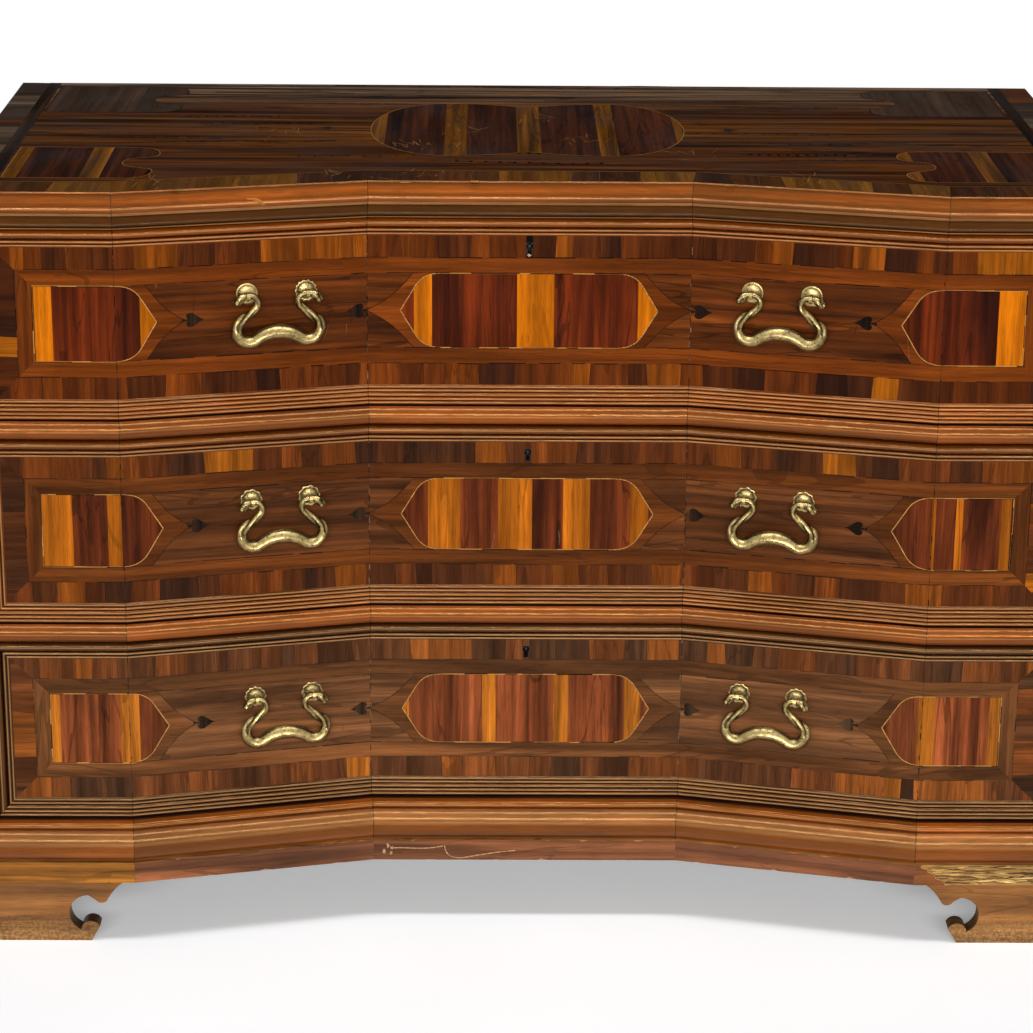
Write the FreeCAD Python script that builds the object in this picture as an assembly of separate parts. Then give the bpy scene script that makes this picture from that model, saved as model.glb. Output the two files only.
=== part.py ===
import FreeCAD, Part
import math
import os

# Chest of three drawers with a front broken into five facets, in millimetres.
# X runs from left to right, Y from front to back and Z up. The origin is on the floor, at the middle
# of the box round the whole chest.

# Plan of the front, as half widths from the middle
outer_break_half_width = 480.0
inner_break_half_width = 191.0
centre_recess = 68.7
panel_half_width = 621.0

# Depth, from the outer drawer panels to the back edge of the top
panel_to_back = 625.0
back_inset = 3.0

# Heights, from the floor upwards
foot_height = 79.0
plinth_height = 27.0
base_moulding_height = 49.0
drawer_panel_height = 182.0
rail_height = 21.5
top_rail_height = 20.0
top_thickness = 24.0
gap_below_front = 2.0
gap_above_front = 3.5
drawer_numbers = (1, 2, 3)

# How far each part stands in front of the drawer panels, and as far round the sides
case_projection = 12.5
top_core_projection = 8.0
top_projection = 26.0
cove_projection = 22.0
rail_projection = 8.0
torus_projection = 17.0
base_projection = 34.0
plinth_projection = 29.0
foot_projection = 28.0

# Carcass boards
side_thickness = 19.0
side_clearance = 1.0
back_thickness = 14.0
back_rebate = 9.5
back_plank_gap = 1.5
back_planks = 3
bottom_thickness = 18.0
housing_depth = 6.0
rail_depth_behind_recess = 62.0
runner_width = 28.0
stop_width = 36.0
stop_depth = 14.0
stop_height = 16.0
stop_clearance = 0.3
run_clearance = 0.3
plinth_thickness = 32.0

# Mouldings fixed round each drawer front
frame_width = 21.5
frame_base_width = 23.0
frame_proud = 8.0

# Drawer boards
front_thickness = 22.0
drawer_side_thickness = 14.0
drawer_side_drop = 8.0
drawer_back_thickness = 12.0
drawer_back_drop = 10.0
drawer_bottom_thickness = 8.0
drawer_bottom_rise = 12.0
groove_depth = 5.0
dovetail_lap = 14.0
dovetail_root = 22.0
dovetail_tip = 31.0

# Lock on the inner face of each drawer front
lock_width = 70.0
lock_height = 46.0
lock_depth = 10.0
lock_sunk = 4.0
lock_plate_depth = 20.0
lock_plate_thickness = 2.0
bolt_width = 22.0
bolt_thickness = 5.0
bolt_height = 34.0
bolt_clearance = 0.3
mortise_depth = 14.0
keyhole_drop = 13.0
keyhole_radius = 4.0
keyhole_slot_width = 4.5
keyhole_slot_drop = 10.0
drill_pin_radius = 1.4
drill_pin_setback = 3.0

# Bail handles on the canted flanks
handle_half_spacing = 296.0
handle_drop = 63.0
post_half_spacing = 35.0
post_width = 4.0
post_clearance = 0.2
pivot_standoff = 12.0
eye_radius = 4.8
pivot_pin_radius = 2.0
pivot_clearance = 0.06
eye_side_clearance = 0.4
rosette_radius = 12.25
rosette_rim = 1.6
rosette_sides = 10
eye_sides = 8
rosette_crown = 4.2
nut_width = 13.0
nut_thickness = 5.0
post_tail = 2.5

# Line of the bail, seen from the front, below the pivot
bail_crest_drop = 45.0
bail_lobe_half_spacing = 37.5
bail_lobe_drop = 44.5
bail_lobe_radius = 11.8
bail_hook_radius = 7.5
bail_head_turn_radius = 9.0
bail_head_turn = math.radians(48.0)
bail_head_length = 9.0
bail_crest_radius = 9.3
bail_lobe_body_radius = 8.0
bail_neck_radius = 4.6
bail_hook_body_radius = 3.0
bail_head_radius = 4.8
bail_snout_radius = 2.2
crest_facets = 2
lobe_facets = 5
hook_facets = 3
bail_sides = 6

# Bracket feet
foot_length = 187.0
foot_thickness = 22.0
rear_bracket_length = 120.0
glue_block_width = 42.0
glue_block_height = 70.0

# One length that carries every cut past the surface it cuts
overrun = 60.0

# Shares of a moulding's width (start and end) and of its height (foot and crest), from the panel outwards
frame_reed_shares = ((0, 0.24, 0.15, 0.38), (0.24, 0.48, 0.15, 0.42))
frame_bead_shares = ((0.54, 1.0, 0.42, 1.0),)
frame_base_reed_shares = (
    (0, 0.20, 0.15, 0.38),
    (0.20, 0.40, 0.15, 0.43),
    (0.40, 0.64, 0.32, 0.58),
    (0.64, 0.82, 0.58, 0.77),
    (0.82, 1.0, 0.80, 1.0),
)
reed_flank_share = 0.28
bead_facets = 5
# Shares of the foot's length and height along its scroll-cut inner end
foot_sole_share = 0.775
foot_curl_side_shares = (0.834, 0.24)
foot_curl_top_shares = (0.783, 0.33)
foot_cusp_shares = (0.711, 0.19)
foot_bite_shares = (0.636, 0.456)
foot_bite_top_shares = (0.765, 0.775)
foot_nub_start_shares = (0.815, 0.69)
foot_nub_shares = (0.852, 0.645)
foot_nub_end_shares = (0.888, 0.69)
foot_cove_shares = (0.928, 0.84)
# Shares of the rear bracket's length and height along its plain cut end
rear_sole_share = 0.55
rear_cut_shares = (0.62, 0.60)
# Shares of the drawer side's height at which its dovetails sit
dovetail_height_shares = (0.22, 0.50, 0.78)
# Shares of the base moulding's height: top of the torus, top of the hollow
torus_top_share = 0.74
hollow_top_share = 0.82
# Shares of each profile's own depth or height, for the swells, hollows and fillets
torus_foot_share = 0.55
hollow_bend_share = 0.35
base_bead_share = 0.45
base_bead_root_share = 0.60
ovolo_fillet_share = 0.06
ovolo_lip_share = 0.60
ovolo_nose_share = 0.95
ovolo_nose_height_share = 0.36
ovolo_swell_share = 0.19
ovolo_foot_share = 0.84
cove_fillet_share = 0.17
cove_foot_share = 0.25
cove_bend_share = 0.33
facing_edge_share = 0.12
rosette_hub_share = 0.46
# Shares of the eye's radius at which the shank ends, and of the head's radius at its nape
shank_end_share = 0.70
nape_share = 0.75

# Heights that follow from the sizes above
plinth_base = foot_height
plinth_top = plinth_base + plinth_height
case_floor = plinth_top + base_moulding_height
front_height = frame_base_width + drawer_panel_height + frame_width
drawer_pitch = gap_below_front + front_height + gap_above_front + rail_height
case_top = case_floor + len(drawer_numbers) * drawer_pitch - rail_height + top_rail_height
total_height = case_top + top_thickness

# Depths and half widths that follow
overall_depth = base_projection + panel_to_back
panel_y = base_projection - overall_depth / 2
top_back_y = panel_y + panel_to_back
case_back_y = top_back_y - back_inset
back_board_y = case_back_y - back_thickness
cant_angle = math.atan2(centre_recess, outer_break_half_width - inner_break_half_width)
mitre_slope = math.tan(cant_angle / 2)
drawer_half_width = panel_half_width + frame_width
case_inner_half_width = drawer_half_width + side_clearance
case_half_width = case_inner_half_width + side_thickness
wrap_half_width = case_half_width - case_projection
rail_back_y = panel_y + centre_recess + rail_depth_behind_recess
drawer_back_y = back_board_y - stop_depth - stop_clearance
front_inner_y = panel_y + centre_recess + front_thickness

Vector = FreeCAD.Vector
up = Vector(0, 0, 1)
rightward = Vector(1, 0, 0)
rearward = Vector(0, 1, 0)


def box(low, high):
    """Solid between two corners."""
    low = Vector(*low)
    size = Vector(*high) - low
    return Part.makeBox(size.x, size.y, size.z, low)


def flat_face(corners):
    return Part.Face(Part.makePolygon(corners + corners[:1]))


def polygon_prism(corners, along):
    """Solid that a flat polygon sweeps."""
    return flat_face(corners).extrude(along)


def plan_prism(points, base, height):
    """Solid that stands on a plan outline."""
    return polygon_prism([Vector(x, y, base) for x, y in points], up * height)


def elevation_prism(points, front, depth):
    """Solid that runs back from an outline seen from the front."""
    return polygon_prism([Vector(x, front, z) for x, z in points], rearward * depth)


def broken_line(projection, end_half_width):
    """Plan of the front, from left to right, this far in front of the drawer panels."""
    outer = outer_break_half_width - projection * mitre_slope
    inner = inner_break_half_width - projection * mitre_slope
    front = panel_y - projection
    left = [(-end_half_width, front), (-outer, front), (-inner, front + centre_recess)]
    return left + [(-x, y) for x, y in reversed(left)]


def broken_board(projection, end_half_width, back_y, base, height):
    """Board with the broken front edge and a straight back edge."""
    plan = broken_line(projection, end_half_width)
    return plan_prism(plan + [(end_half_width, back_y), (-end_half_width, back_y)], base, height)


def wrapped_path(back_y):
    """Path of a moulding that runs along the left side, the broken front and the right side."""
    front = broken_line(0, wrap_half_width)
    return [(-wrap_half_width, back_y)] + front + [(wrap_half_width, back_y)]


def profile_face(steps, place):
    """Face of a closed outline. A step of one point is a line to it; one of two points is an arc."""
    here = steps[0][-1]
    edges = []
    for step in steps[1:] + steps[:1]:
        ends = [place(*here)] + [place(*point) for point in step]
        if len(step) == 1:
            edges.append(Part.LineSegment(*ends).toShape())
        else:
            edges.append(Part.Arc(*ends).toShape())
        here = step[-1]
    return Part.Face(Part.Wire(edges))


def outward_normals(path):
    """Unit normal of each stretch of a plan path, on the outside of the chest."""
    normals = []
    for start, end in zip(path, path[1:]):
        along = Vector(end[0] - start[0], end[1] - start[1], 0).normalize()
        normals.append(Vector(along.y, -along.x, 0))
    return normals


def mitred_runs(path, steps):
    """One solid for each straight stretch of a moulding, mitred wherever the path turns."""
    normals = outward_normals(path)
    mitres = [normals[0]]
    for before, after in zip(normals, normals[1:]):
        mitres.append((before + after) * (1 / (1 + before.dot(after))))
    mitres.append(normals[-1])
    corners = [Vector(x, y, 0) for x, y in path]
    runs = []
    for index, normal in enumerate(normals):
        start, end = corners[index], corners[index + 1]
        along = Vector(-normal.y, normal.x, 0)
        length = (end - start).Length + 2 * overrun
        first = start - along * overrun
        bar = profile_face(steps, lambda out, z: first + normal * out + up * z).extrude(along * length)
        stretch = [
            start - mitres[index] * overrun,
            start + mitres[index] * overrun,
            end + mitres[index + 1] * overrun,
            end - mitres[index + 1] * overrun,
        ]
        wedge = plan_prism([(corner.x, corner.y) for corner in stretch], -overrun, total_height + 2 * overrun)
        runs += bar.common(wedge).Solids
    return runs


def group(solids):
    """Separate solids that share one node."""
    return Part.makeCompound(solids)


def mirrored_pair(solid):
    """A solid and its mirror image across the middle of the chest."""
    return [solid, solid.mirror(Vector(0, 0, 0), rightward)]


def top_panel():
    return broken_board(
        top_core_projection, wrap_half_width + top_core_projection, top_back_y, case_top, top_thickness
    )


def top_edge_moulding():
    depth = top_projection - top_core_projection
    lip = top_core_projection + depth * ovolo_lip_share
    fillet = total_height - top_thickness * ovolo_fillet_share
    swell = (top_projection, case_top + top_thickness * ovolo_swell_share)
    nose = (top_core_projection + depth * ovolo_nose_share, case_top + top_thickness * ovolo_nose_height_share)
    steps = [
        ((top_core_projection, case_top),),
        ((top_core_projection + depth * ovolo_foot_share, case_top),),
        (swell, nose),
        ((lip, fillet),),
        ((lip, total_height),),
        ((top_core_projection, total_height),),
    ]
    return group(mitred_runs(wrapped_path(top_back_y), steps))


def cove_moulding():
    depth = cove_projection - case_projection
    foot = case_projection + depth * cove_foot_share
    base = case_top - top_rail_height
    fillet = case_top - top_rail_height * cove_fillet_share
    bend = (
        foot + depth * cove_foot_share * cove_bend_share,
        fillet - (fillet - base) * cove_bend_share,
    )
    steps = [
        ((case_projection, base),),
        ((foot, base),),
        (bend, (cove_projection, fillet)),
        ((cove_projection, case_top),),
        ((case_projection, case_top),),
    ]
    return group(mitred_runs(wrapped_path(case_back_y), steps))


def rail_facings():
    """Half-round facings of the two drawer rails, between the carcass sides."""
    path = broken_line(0, case_inner_half_width)
    runs = []
    for number in drawer_numbers[:-1]:
        base = rail_base(number)
        edge = rail_projection + (torus_projection - rail_projection) * facing_edge_share
        steps = [
            ((rail_projection, base),),
            ((edge, base),),
            ((torus_projection, base + rail_height / 2), (edge, base + rail_height)),
            ((rail_projection, base + rail_height),),
        ]
        runs += mitred_runs(path, steps)
    return group(runs)


def base_moulding():
    """Bead, hollow and torus that stand on the plinth and close the foot of the case."""
    depth = base_projection - case_projection
    torus_top = plinth_top + base_moulding_height * torus_top_share
    hollow_top = plinth_top + base_moulding_height * hollow_top_share
    torus_foot = case_projection + depth * torus_foot_share
    bead_root = case_projection + depth * base_bead_share * base_bead_root_share
    bead_swell = case_projection + depth * base_bead_share
    steps = [
        ((case_projection, plinth_top),),
        ((torus_foot, plinth_top),),
        ((base_projection, (plinth_top + torus_top) / 2), (torus_foot, torus_top)),
        (
            (
                bead_root + (torus_foot - bead_root) * hollow_bend_share,
                torus_top + (hollow_top - torus_top) * hollow_bend_share,
            ),
            (bead_root, hollow_top),
        ),
        ((bead_swell, (hollow_top + case_floor) / 2), (bead_root, case_floor)),
        ((case_projection, case_floor),),
    ]
    return group(mitred_runs(wrapped_path(case_back_y), steps))


def plinth_frame():
    """Flat fascia of the plinth, mitred round the front and sides, with a straight back rail."""
    inner = plinth_projection - plinth_thickness
    steps = [
        ((inner, plinth_base),),
        ((plinth_projection, plinth_base),),
        ((plinth_projection, plinth_top),),
        ((inner, plinth_top),),
    ]
    half_width = wrap_half_width + inner
    back_rail = box(
        (-half_width, case_back_y - plinth_thickness, plinth_base), (half_width, case_back_y, plinth_top)
    )
    return group(mitred_runs(wrapped_path(case_back_y), steps) + [back_rail])


def rail_base(number):
    """Underside of the rail above a drawer, counting the drawers from the lowest."""
    return case_floor + number * drawer_pitch - rail_height


def runner_floor(number):
    """Height on which a drawer's sides run."""
    return case_floor + (number - 1) * drawer_pitch


def bolt_place(number):
    """Corners of a drawer's lock bolt, drawn in just under the drawer's top edge."""
    top = front_top(number) - bolt_clearance
    centre_y = front_inner_y + lock_depth / 2 - lock_sunk
    return (
        (-bolt_width / 2, centre_y - bolt_thickness / 2, top - bolt_height),
        (bolt_width / 2, centre_y + bolt_thickness / 2, top),
    )


def grown(corners, margin):
    """Box with its sides moved out by a margin."""
    low, high = corners
    return box([value - margin for value in low], [value + margin for value in high])


def bolt_mortise(number):
    """Pocket in the underside of a rail that takes the bolt."""
    low, high = bolt_place(number)
    base = rail_base(number)
    pocket = ((low[0], low[1], base), (high[0], high[1], base + mortise_depth))
    return grown(pocket, bolt_clearance)


def drawer_rail(number):
    """Rail above a drawer, with stub ends that sit in the sides and a pocket for the lock bolt."""
    half_width = case_inner_half_width + housing_depth
    rail = broken_board(rail_projection, half_width, rail_back_y, rail_base(number), rail_height)
    return rail.cut(bolt_mortise(number))


def top_rail():
    half_width = case_inner_half_width + housing_depth
    base = case_top - top_rail_height
    rail = broken_board(case_projection, half_width, rail_back_y, base, top_rail_height)
    return rail.cut(bolt_mortise(drawer_numbers[-1]))


def bottom_board():
    half_width = case_inner_half_width + housing_depth
    base = case_floor - bottom_thickness
    return broken_board(case_projection, half_width, back_board_y, base, bottom_thickness)


def housed_boards():
    return [bottom_board(), top_rail()] + [drawer_rail(number) for number in drawer_numbers[:-1]]


def side_panel():
    """Right side, with a rebate for the back boards and housings for the rails and the bottom."""
    side = box(
        (case_inner_half_width, panel_y - case_projection, plinth_top), (case_half_width, case_back_y, case_top)
    )
    rebate = box(
        (case_inner_half_width - overrun, back_board_y, plinth_top - overrun),
        (case_inner_half_width + back_rebate, case_back_y + overrun, case_top + overrun),
    )
    side = side.cut(rebate)
    for board in housed_boards():
        side = side.cut(board)
    return side


def back_boards():
    half_width = case_inner_half_width + back_rebate
    step = (case_top - plinth_top + back_plank_gap) / back_planks
    planks = []
    for index in range(back_planks):
        base = plinth_top + index * step
        planks.append(
            box((-half_width, back_board_y, base), (half_width, case_back_y, base + step - back_plank_gap))
        )
    return group(planks)


def side_strips(tops, heights):
    """Strips along both sides, behind the rails, with these upper faces."""
    strips = []
    for top, height in zip(tops, heights):
        strip = box(
            (case_inner_half_width - runner_width, rail_back_y, top - height),
            (case_inner_half_width, back_board_y, top),
        )
        strips += mirrored_pair(strip)
    return group(strips)


def drawer_runners():
    tops = [runner_floor(number) for number in drawer_numbers[1:]]
    return side_strips(tops, [rail_height] * len(tops))


def top_kickers():
    return side_strips([case_top], [top_rail_height])


def drawer_stops():
    """Blocks behind each drawer that keep its front level with the rails."""
    stops = []
    for number in drawer_numbers:
        floor = runner_floor(number)
        stop = box(
            (case_inner_half_width - stop_width, back_board_y - stop_depth, floor),
            (case_inner_half_width, back_board_y, floor + stop_height),
        )
        stops += mirrored_pair(stop)
    return group(stops)


def foot_outline(corner, inward, place):
    """Scroll-cut bracket: sole, curl, bite, nub and cove, measured inwards from its outer corner."""

    def point(shares):
        return (corner + inward * foot_length * shares[0], foot_height * shares[1])

    steps = [
        ((corner, 0),),
        (point((foot_sole_share, 0)),),
        (point(foot_curl_side_shares),),
        (point(foot_curl_top_shares), point(foot_cusp_shares)),
        (point(foot_bite_shares), point(foot_bite_top_shares)),
        (point(foot_nub_start_shares),),
        (point(foot_nub_shares), point(foot_nub_end_shares)),
        (point(foot_cove_shares), point((1, 1))),
        ((corner, foot_height),),
    ]
    return profile_face(steps, place)


def rear_outline(corner, inward, place):
    """Plain bracket across the back, cut away in one slope and one upright."""

    def point(shares):
        return (corner + inward * rear_bracket_length * shares[0], foot_height * shares[1])

    steps = [
        ((corner, 0),),
        (point((rear_sole_share, 0)),),
        (point(rear_cut_shares),),
        (point((1, 1)),),
        ((corner, foot_height),),
    ]
    return profile_face(steps, place)


def corner_wedge(corner_x, corner_y, away_y):
    """Half of a foot's corner on the side of its mitre that faces the front or the back."""
    reach = foot_length + overrun
    plan = [
        (corner_x, corner_y),
        (corner_x - reach, corner_y + away_y * reach),
        (corner_x - reach, corner_y - away_y * overrun),
        (corner_x, corner_y - away_y * overrun),
    ]
    return plan_prism(plan, -overrun, foot_height + 2 * overrun)


def foot(outline, corner_y, inward_y):
    """Right foot of two mitred brackets: one across the front or back, one along the side."""
    corner_x = wrap_half_width + foot_projection
    across = outline(corner_x, -1, lambda x, z: Vector(x, corner_y, z))
    across = across.extrude(Vector(0, inward_y * foot_thickness, 0))
    along = foot_outline(corner_y, inward_y, lambda y, z: Vector(corner_x, y, z))
    along = along.extrude(Vector(-foot_thickness, 0, 0))
    wedge = corner_wedge(corner_x, corner_y, inward_y)
    return group(across.common(wedge).Solids + along.cut(wedge).Solids)


def front_foot():
    return foot(foot_outline, panel_y - foot_projection, 1)


def rear_foot():
    return foot(rear_outline, case_back_y, -1)


def foot_glue_blocks():
    """Square blocks in the corners behind the brackets."""
    outer_x = wrap_half_width + foot_projection - foot_thickness
    front_y = panel_y - foot_projection + foot_thickness
    back_y = case_back_y - foot_thickness
    base = foot_height - glue_block_height
    blocks = []
    for low_y in (front_y, back_y - glue_block_width):
        block = box((outer_x - glue_block_width, low_y, base), (outer_x, low_y + glue_block_width, foot_height))
        blocks += mirrored_pair(block)
    return group(blocks)


def front_base(number):
    return runner_floor(number) + gap_below_front


def front_top(number):
    return front_base(number) + front_height


def panel_base(number):
    return front_base(number) + frame_base_width


def panel_top(number):
    return panel_base(number) + drawer_panel_height


def side_base(number):
    return runner_floor(number) + run_clearance


def side_top(number):
    return front_top(number) - drawer_side_drop


def dovetails(number, root_y, tip_y):
    """Tails at one end of the right drawer side, wider at the tip than at the root."""
    height = side_top(number) - side_base(number)
    tails = []
    for share in dovetail_height_shares:
        middle = side_base(number) + height * share
        outline = [
            (root_y, middle - dovetail_root / 2),
            (tip_y, middle - dovetail_tip / 2),
            (tip_y, middle + dovetail_tip / 2),
            (root_y, middle + dovetail_root / 2),
        ]
        corners = [Vector(drawer_half_width - drawer_side_thickness, y, z) for y, z in outline]
        tails.append(polygon_prism(corners, Vector(drawer_side_thickness, 0, 0)))
    return tails


def front_tails(number):
    root = panel_y + front_thickness
    return dovetails(number, root, root - dovetail_lap)


def back_tails(number):
    root = drawer_back_y - drawer_back_thickness
    return dovetails(number, root, drawer_back_y)


def both_sides(solids):
    return [copy for solid in solids for copy in mirrored_pair(solid)]


def drawer_side(number):
    """Right drawer side with its dovetails and the groove for the bottom."""
    board = box(
        (drawer_half_width - drawer_side_thickness, panel_y + front_thickness, side_base(number)),
        (drawer_half_width, drawer_back_y - drawer_back_thickness, side_top(number)),
    )
    board = board.multiFuse(front_tails(number) + back_tails(number)).removeSplitter()
    return board.cut(drawer_bottom(number)).Solids[0]


def drawer_bottom(number):
    """Thin bottom that sits in grooves in the front and sides and runs under the back."""
    half_width = drawer_half_width - drawer_side_thickness + groove_depth
    base = side_base(number) + drawer_bottom_rise
    projection = groove_depth - front_thickness
    return broken_board(projection, half_width, drawer_back_y, base, drawer_bottom_thickness)


def drawer_back(number):
    base = side_base(number) + drawer_bottom_rise + drawer_bottom_thickness
    back = box(
        (-drawer_half_width, drawer_back_y - drawer_back_thickness, base),
        (drawer_half_width, drawer_back_y, side_top(number) - drawer_back_drop),
    )
    return back.cut(both_sides(back_tails(number)))


def keyhole(number):
    """Round hole with a slot below it, through the middle of the drawer front."""
    centre = Vector(0, panel_y - overrun, panel_top(number) - keyhole_drop)
    depth = front_inner_y - panel_y + overrun
    back = Vector(0, 1, 0)
    slot = box(
        (-keyhole_slot_width / 2, centre.y, centre.z - keyhole_slot_drop),
        (keyhole_slot_width / 2, centre.y + depth, centre.z),
    )
    return Part.makeCylinder(keyhole_radius, depth, centre, back).fuse(slot)


def lock_body(number):
    """Outside of the lock: case against the inner face, plate let into the top edge."""
    top = front_top(number)
    case_front = front_inner_y - lock_sunk
    case_back = case_front + lock_depth
    case = box(
        (-lock_width / 2, case_front, top - lock_plate_thickness - lock_height),
        (lock_width / 2, case_back, top - lock_plate_thickness),
    )
    plate = box(
        (-lock_width / 2, case_back - lock_plate_depth, top - lock_plate_thickness),
        (lock_width / 2, case_back, top),
    )
    return case.fuse(plate).removeSplitter()


def lock_case(number):
    """Lock with the channel for its bolt and the pin that guides the key."""
    case_front = front_inner_y - lock_sunk
    pin_start = panel_y + centre_recess + drill_pin_setback
    pin = Part.makeCylinder(
        drill_pin_radius,
        case_front - pin_start,
        Vector(0, pin_start, panel_top(number) - keyhole_drop),
        Vector(0, 1, 0),
    )
    low, high = bolt_place(number)
    channel = grown((low, (high[0], high[1], high[2] + overrun)), bolt_clearance)
    return lock_body(number).cut(channel).fuse(pin).Solids[0]


def lock_bolt(number):
    return box(*bolt_place(number))


def handle_place(side, number):
    """Placement of a handle on a canted flank: X along the flank, Y into the wood."""
    run = outer_break_half_width - inner_break_half_width
    share = (outer_break_half_width - handle_half_spacing) / run
    place = Vector(side * handle_half_spacing, panel_y + centre_recess * share, panel_top(number) - handle_drop)
    return FreeCAD.Placement(place, FreeCAD.Rotation(up, -side * math.degrees(cant_angle)))


def placed(solid, placement):
    copy = solid.copy()
    copy.Placement = placement.multiply(solid.Placement)
    return copy


def at_posts(solid):
    """The same solid at both posts of a handle."""
    return [solid.translated(Vector(side * post_half_spacing, 0, 0)) for side in (-1, 1)]


def on_drawer(solids, number):
    """The solids of one handle, on both flanks of a drawer front."""
    placements = [handle_place(side, number) for side in (-1, 1)]
    return [placed(solid, placement) for placement in placements for solid in solids]


def square_bar(width, front, back):
    """Square bar along a post's axis."""
    return box((-width / 2, front, -width / 2), (width / 2, back, width / 2))


def regular_polygon(radius, sides):
    """Corners round the origin, the first to the right."""
    turns = [2 * math.pi * index / sides for index in range(sides)]
    return [(radius * math.cos(turn), radius * math.sin(turn)) for turn in turns]


def faceted(rings):
    """Solid of flat facets through rings of corners, closed at both ends."""
    faces = [flat_face(rings[0]), flat_face(rings[-1])]
    for ring, following in zip(rings, rings[1:]):
        for index, corner in enumerate(ring):
            faces.append(flat_face([ring[index - 1], corner, following[index]]))
            faces.append(flat_face([ring[index - 1], following[index], following[index - 1]]))
    return Part.makeSolid(Part.makeShell(faces))


def rosette():
    """Faceted domed plate under a post, with a square hole."""

    def ring(radius, y):
        return [Vector(x, y, z) for x, z in regular_polygon(radius, rosette_sides)]

    hub = rosette_radius * rosette_hub_share
    rings = [ring(rosette_radius, 0), ring(rosette_radius, -rosette_rim), ring(hub, -rosette_crown)]
    return faceted(rings).cut(post_hole())


def eye_post():
    """Post whose eye carries the bail and whose square tail passes through the drawer front."""
    tail = front_thickness + nut_thickness + post_tail
    shank = square_bar(post_width, eye_radius * shank_end_share - pivot_standoff, tail)
    rim = regular_polygon(eye_radius, eye_sides)
    corners = [Vector(-post_width / 2, y - pivot_standoff, z) for y, z in rim]
    eye = polygon_prism(corners, rightward * post_width)
    bore_radius = pivot_pin_radius + pivot_clearance
    bore = Part.makeCylinder(bore_radius, 2 * overrun, Vector(-overrun, -pivot_standoff, 0), rightward)
    return eye.fuse(shank).cut(bore).removeSplitter().Solids[0]


def post_hole():
    return square_bar(post_width + 2 * post_clearance, -overrun, overrun)


def post_nut():
    """Square nut on the inner face of the drawer front."""
    return square_bar(nut_width, front_thickness, front_thickness + nut_thickness).cut(post_hole())


def drawer_front(number):
    """Front broken like the case, with sockets, groove, keyhole, lock recess and post holes."""
    plan = broken_line(0, drawer_half_width) + broken_line(-front_thickness, drawer_half_width)[::-1]
    front = plan_prism(plan, front_base(number), front_height)
    cuts = both_sides(front_tails(number)) + [drawer_bottom(number), keyhole(number), lock_body(number)]
    return front.cut(cuts + on_drawer(at_posts(post_hole()), number))


def bead_steps(start, end, low, high):
    """Flat facets round a bead."""
    turns = [math.pi * (1 - (index + 1) / bead_facets) for index in range(bead_facets)]
    middle, half = (start + end) / 2, (end - start) / 2
    return [((middle + half * math.cos(turn), low + (high - low) * math.sin(turn)),) for turn in turns]


def reeded_steps(width, reed_shares, bead_shares):
    """Reeded profile: distance from the panel edge, then height above the panel."""
    rows = [
        (width * start, width * end, frame_proud * foot, frame_proud * crest)
        for start, end, foot, crest in reed_shares + bead_shares
    ]
    steps = [((0, 0),)]
    for index, (start, end, low, high) in enumerate(rows):
        if steps[-1][-1] != (start, low):
            steps.append(((start, low),))
        if index < len(reed_shares):
            flank = (end - start) * reed_flank_share
            steps += [((start + flank, high),), ((end - flank, high),), ((end, low),)]
        else:
            steps += bead_steps(start, end, low, high)
    return steps + [((width, 0),)]


def turned_steps(steps, edge, away):
    """A reeded profile set upright: projection, then height from a panel edge."""
    return [tuple((proud, edge + away * distance) for distance, proud in step) for step in steps]


def drawer_mouldings(number):
    """Mitred frame of mouldings on a drawer front: five lengths above, five below, one at each end."""
    low, high = panel_base(number), panel_top(number)
    bottom, top = front_base(number), front_top(number)
    path = broken_line(0, drawer_half_width)
    depth = centre_recess + 2 * overrun
    frame_steps = reeded_steps(frame_width, frame_reed_shares, frame_bead_shares)
    base_steps = reeded_steps(frame_base_width, frame_base_reed_shares, ())
    runs = []
    for steps, edge, outer, away in ((frame_steps, high, top, 1), (base_steps, low, bottom, -1)):
        outline = [
            (-panel_half_width, edge), (panel_half_width, edge), (drawer_half_width, outer), (-drawer_half_width, outer)
        ]
        trim = elevation_prism(outline, panel_y - overrun, depth)
        for run in mitred_runs(path, turned_steps(steps, edge, away)):
            runs += run.common(trim).Solids
    face = profile_face(
        frame_steps, lambda out, proud: Vector(panel_half_width + out, panel_y - proud, bottom - overrun)
    )
    outline = [
        (panel_half_width, low), (drawer_half_width, bottom), (drawer_half_width, top), (panel_half_width, high)
    ]
    upright = face.extrude(up * (front_height + 2 * overrun))
    upright = upright.common(elevation_prism(outline, panel_y - overrun, depth)).Solids[0]
    return group(runs + mirrored_pair(upright))


def turn(centre, radius, start, end, count):
    """Points and headings along an arc, seen from the front, from one angle to another."""
    side = 1 if end > start else -1
    stations = []
    for index in range(count + 1):
        angle = start + (end - start) * index / count
        point = (centre[0] + radius * math.cos(angle), centre[1] + radius * math.sin(angle))
        stations.append((point, angle + side * math.pi / 2))
    return stations


def tapered(line, first, last):
    """Stations along a line, with a body radius that changes evenly from end to end."""
    steps = len(line) - 1
    return [(*station, first + (last - first) * index / steps) for index, station in enumerate(line)]


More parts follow.
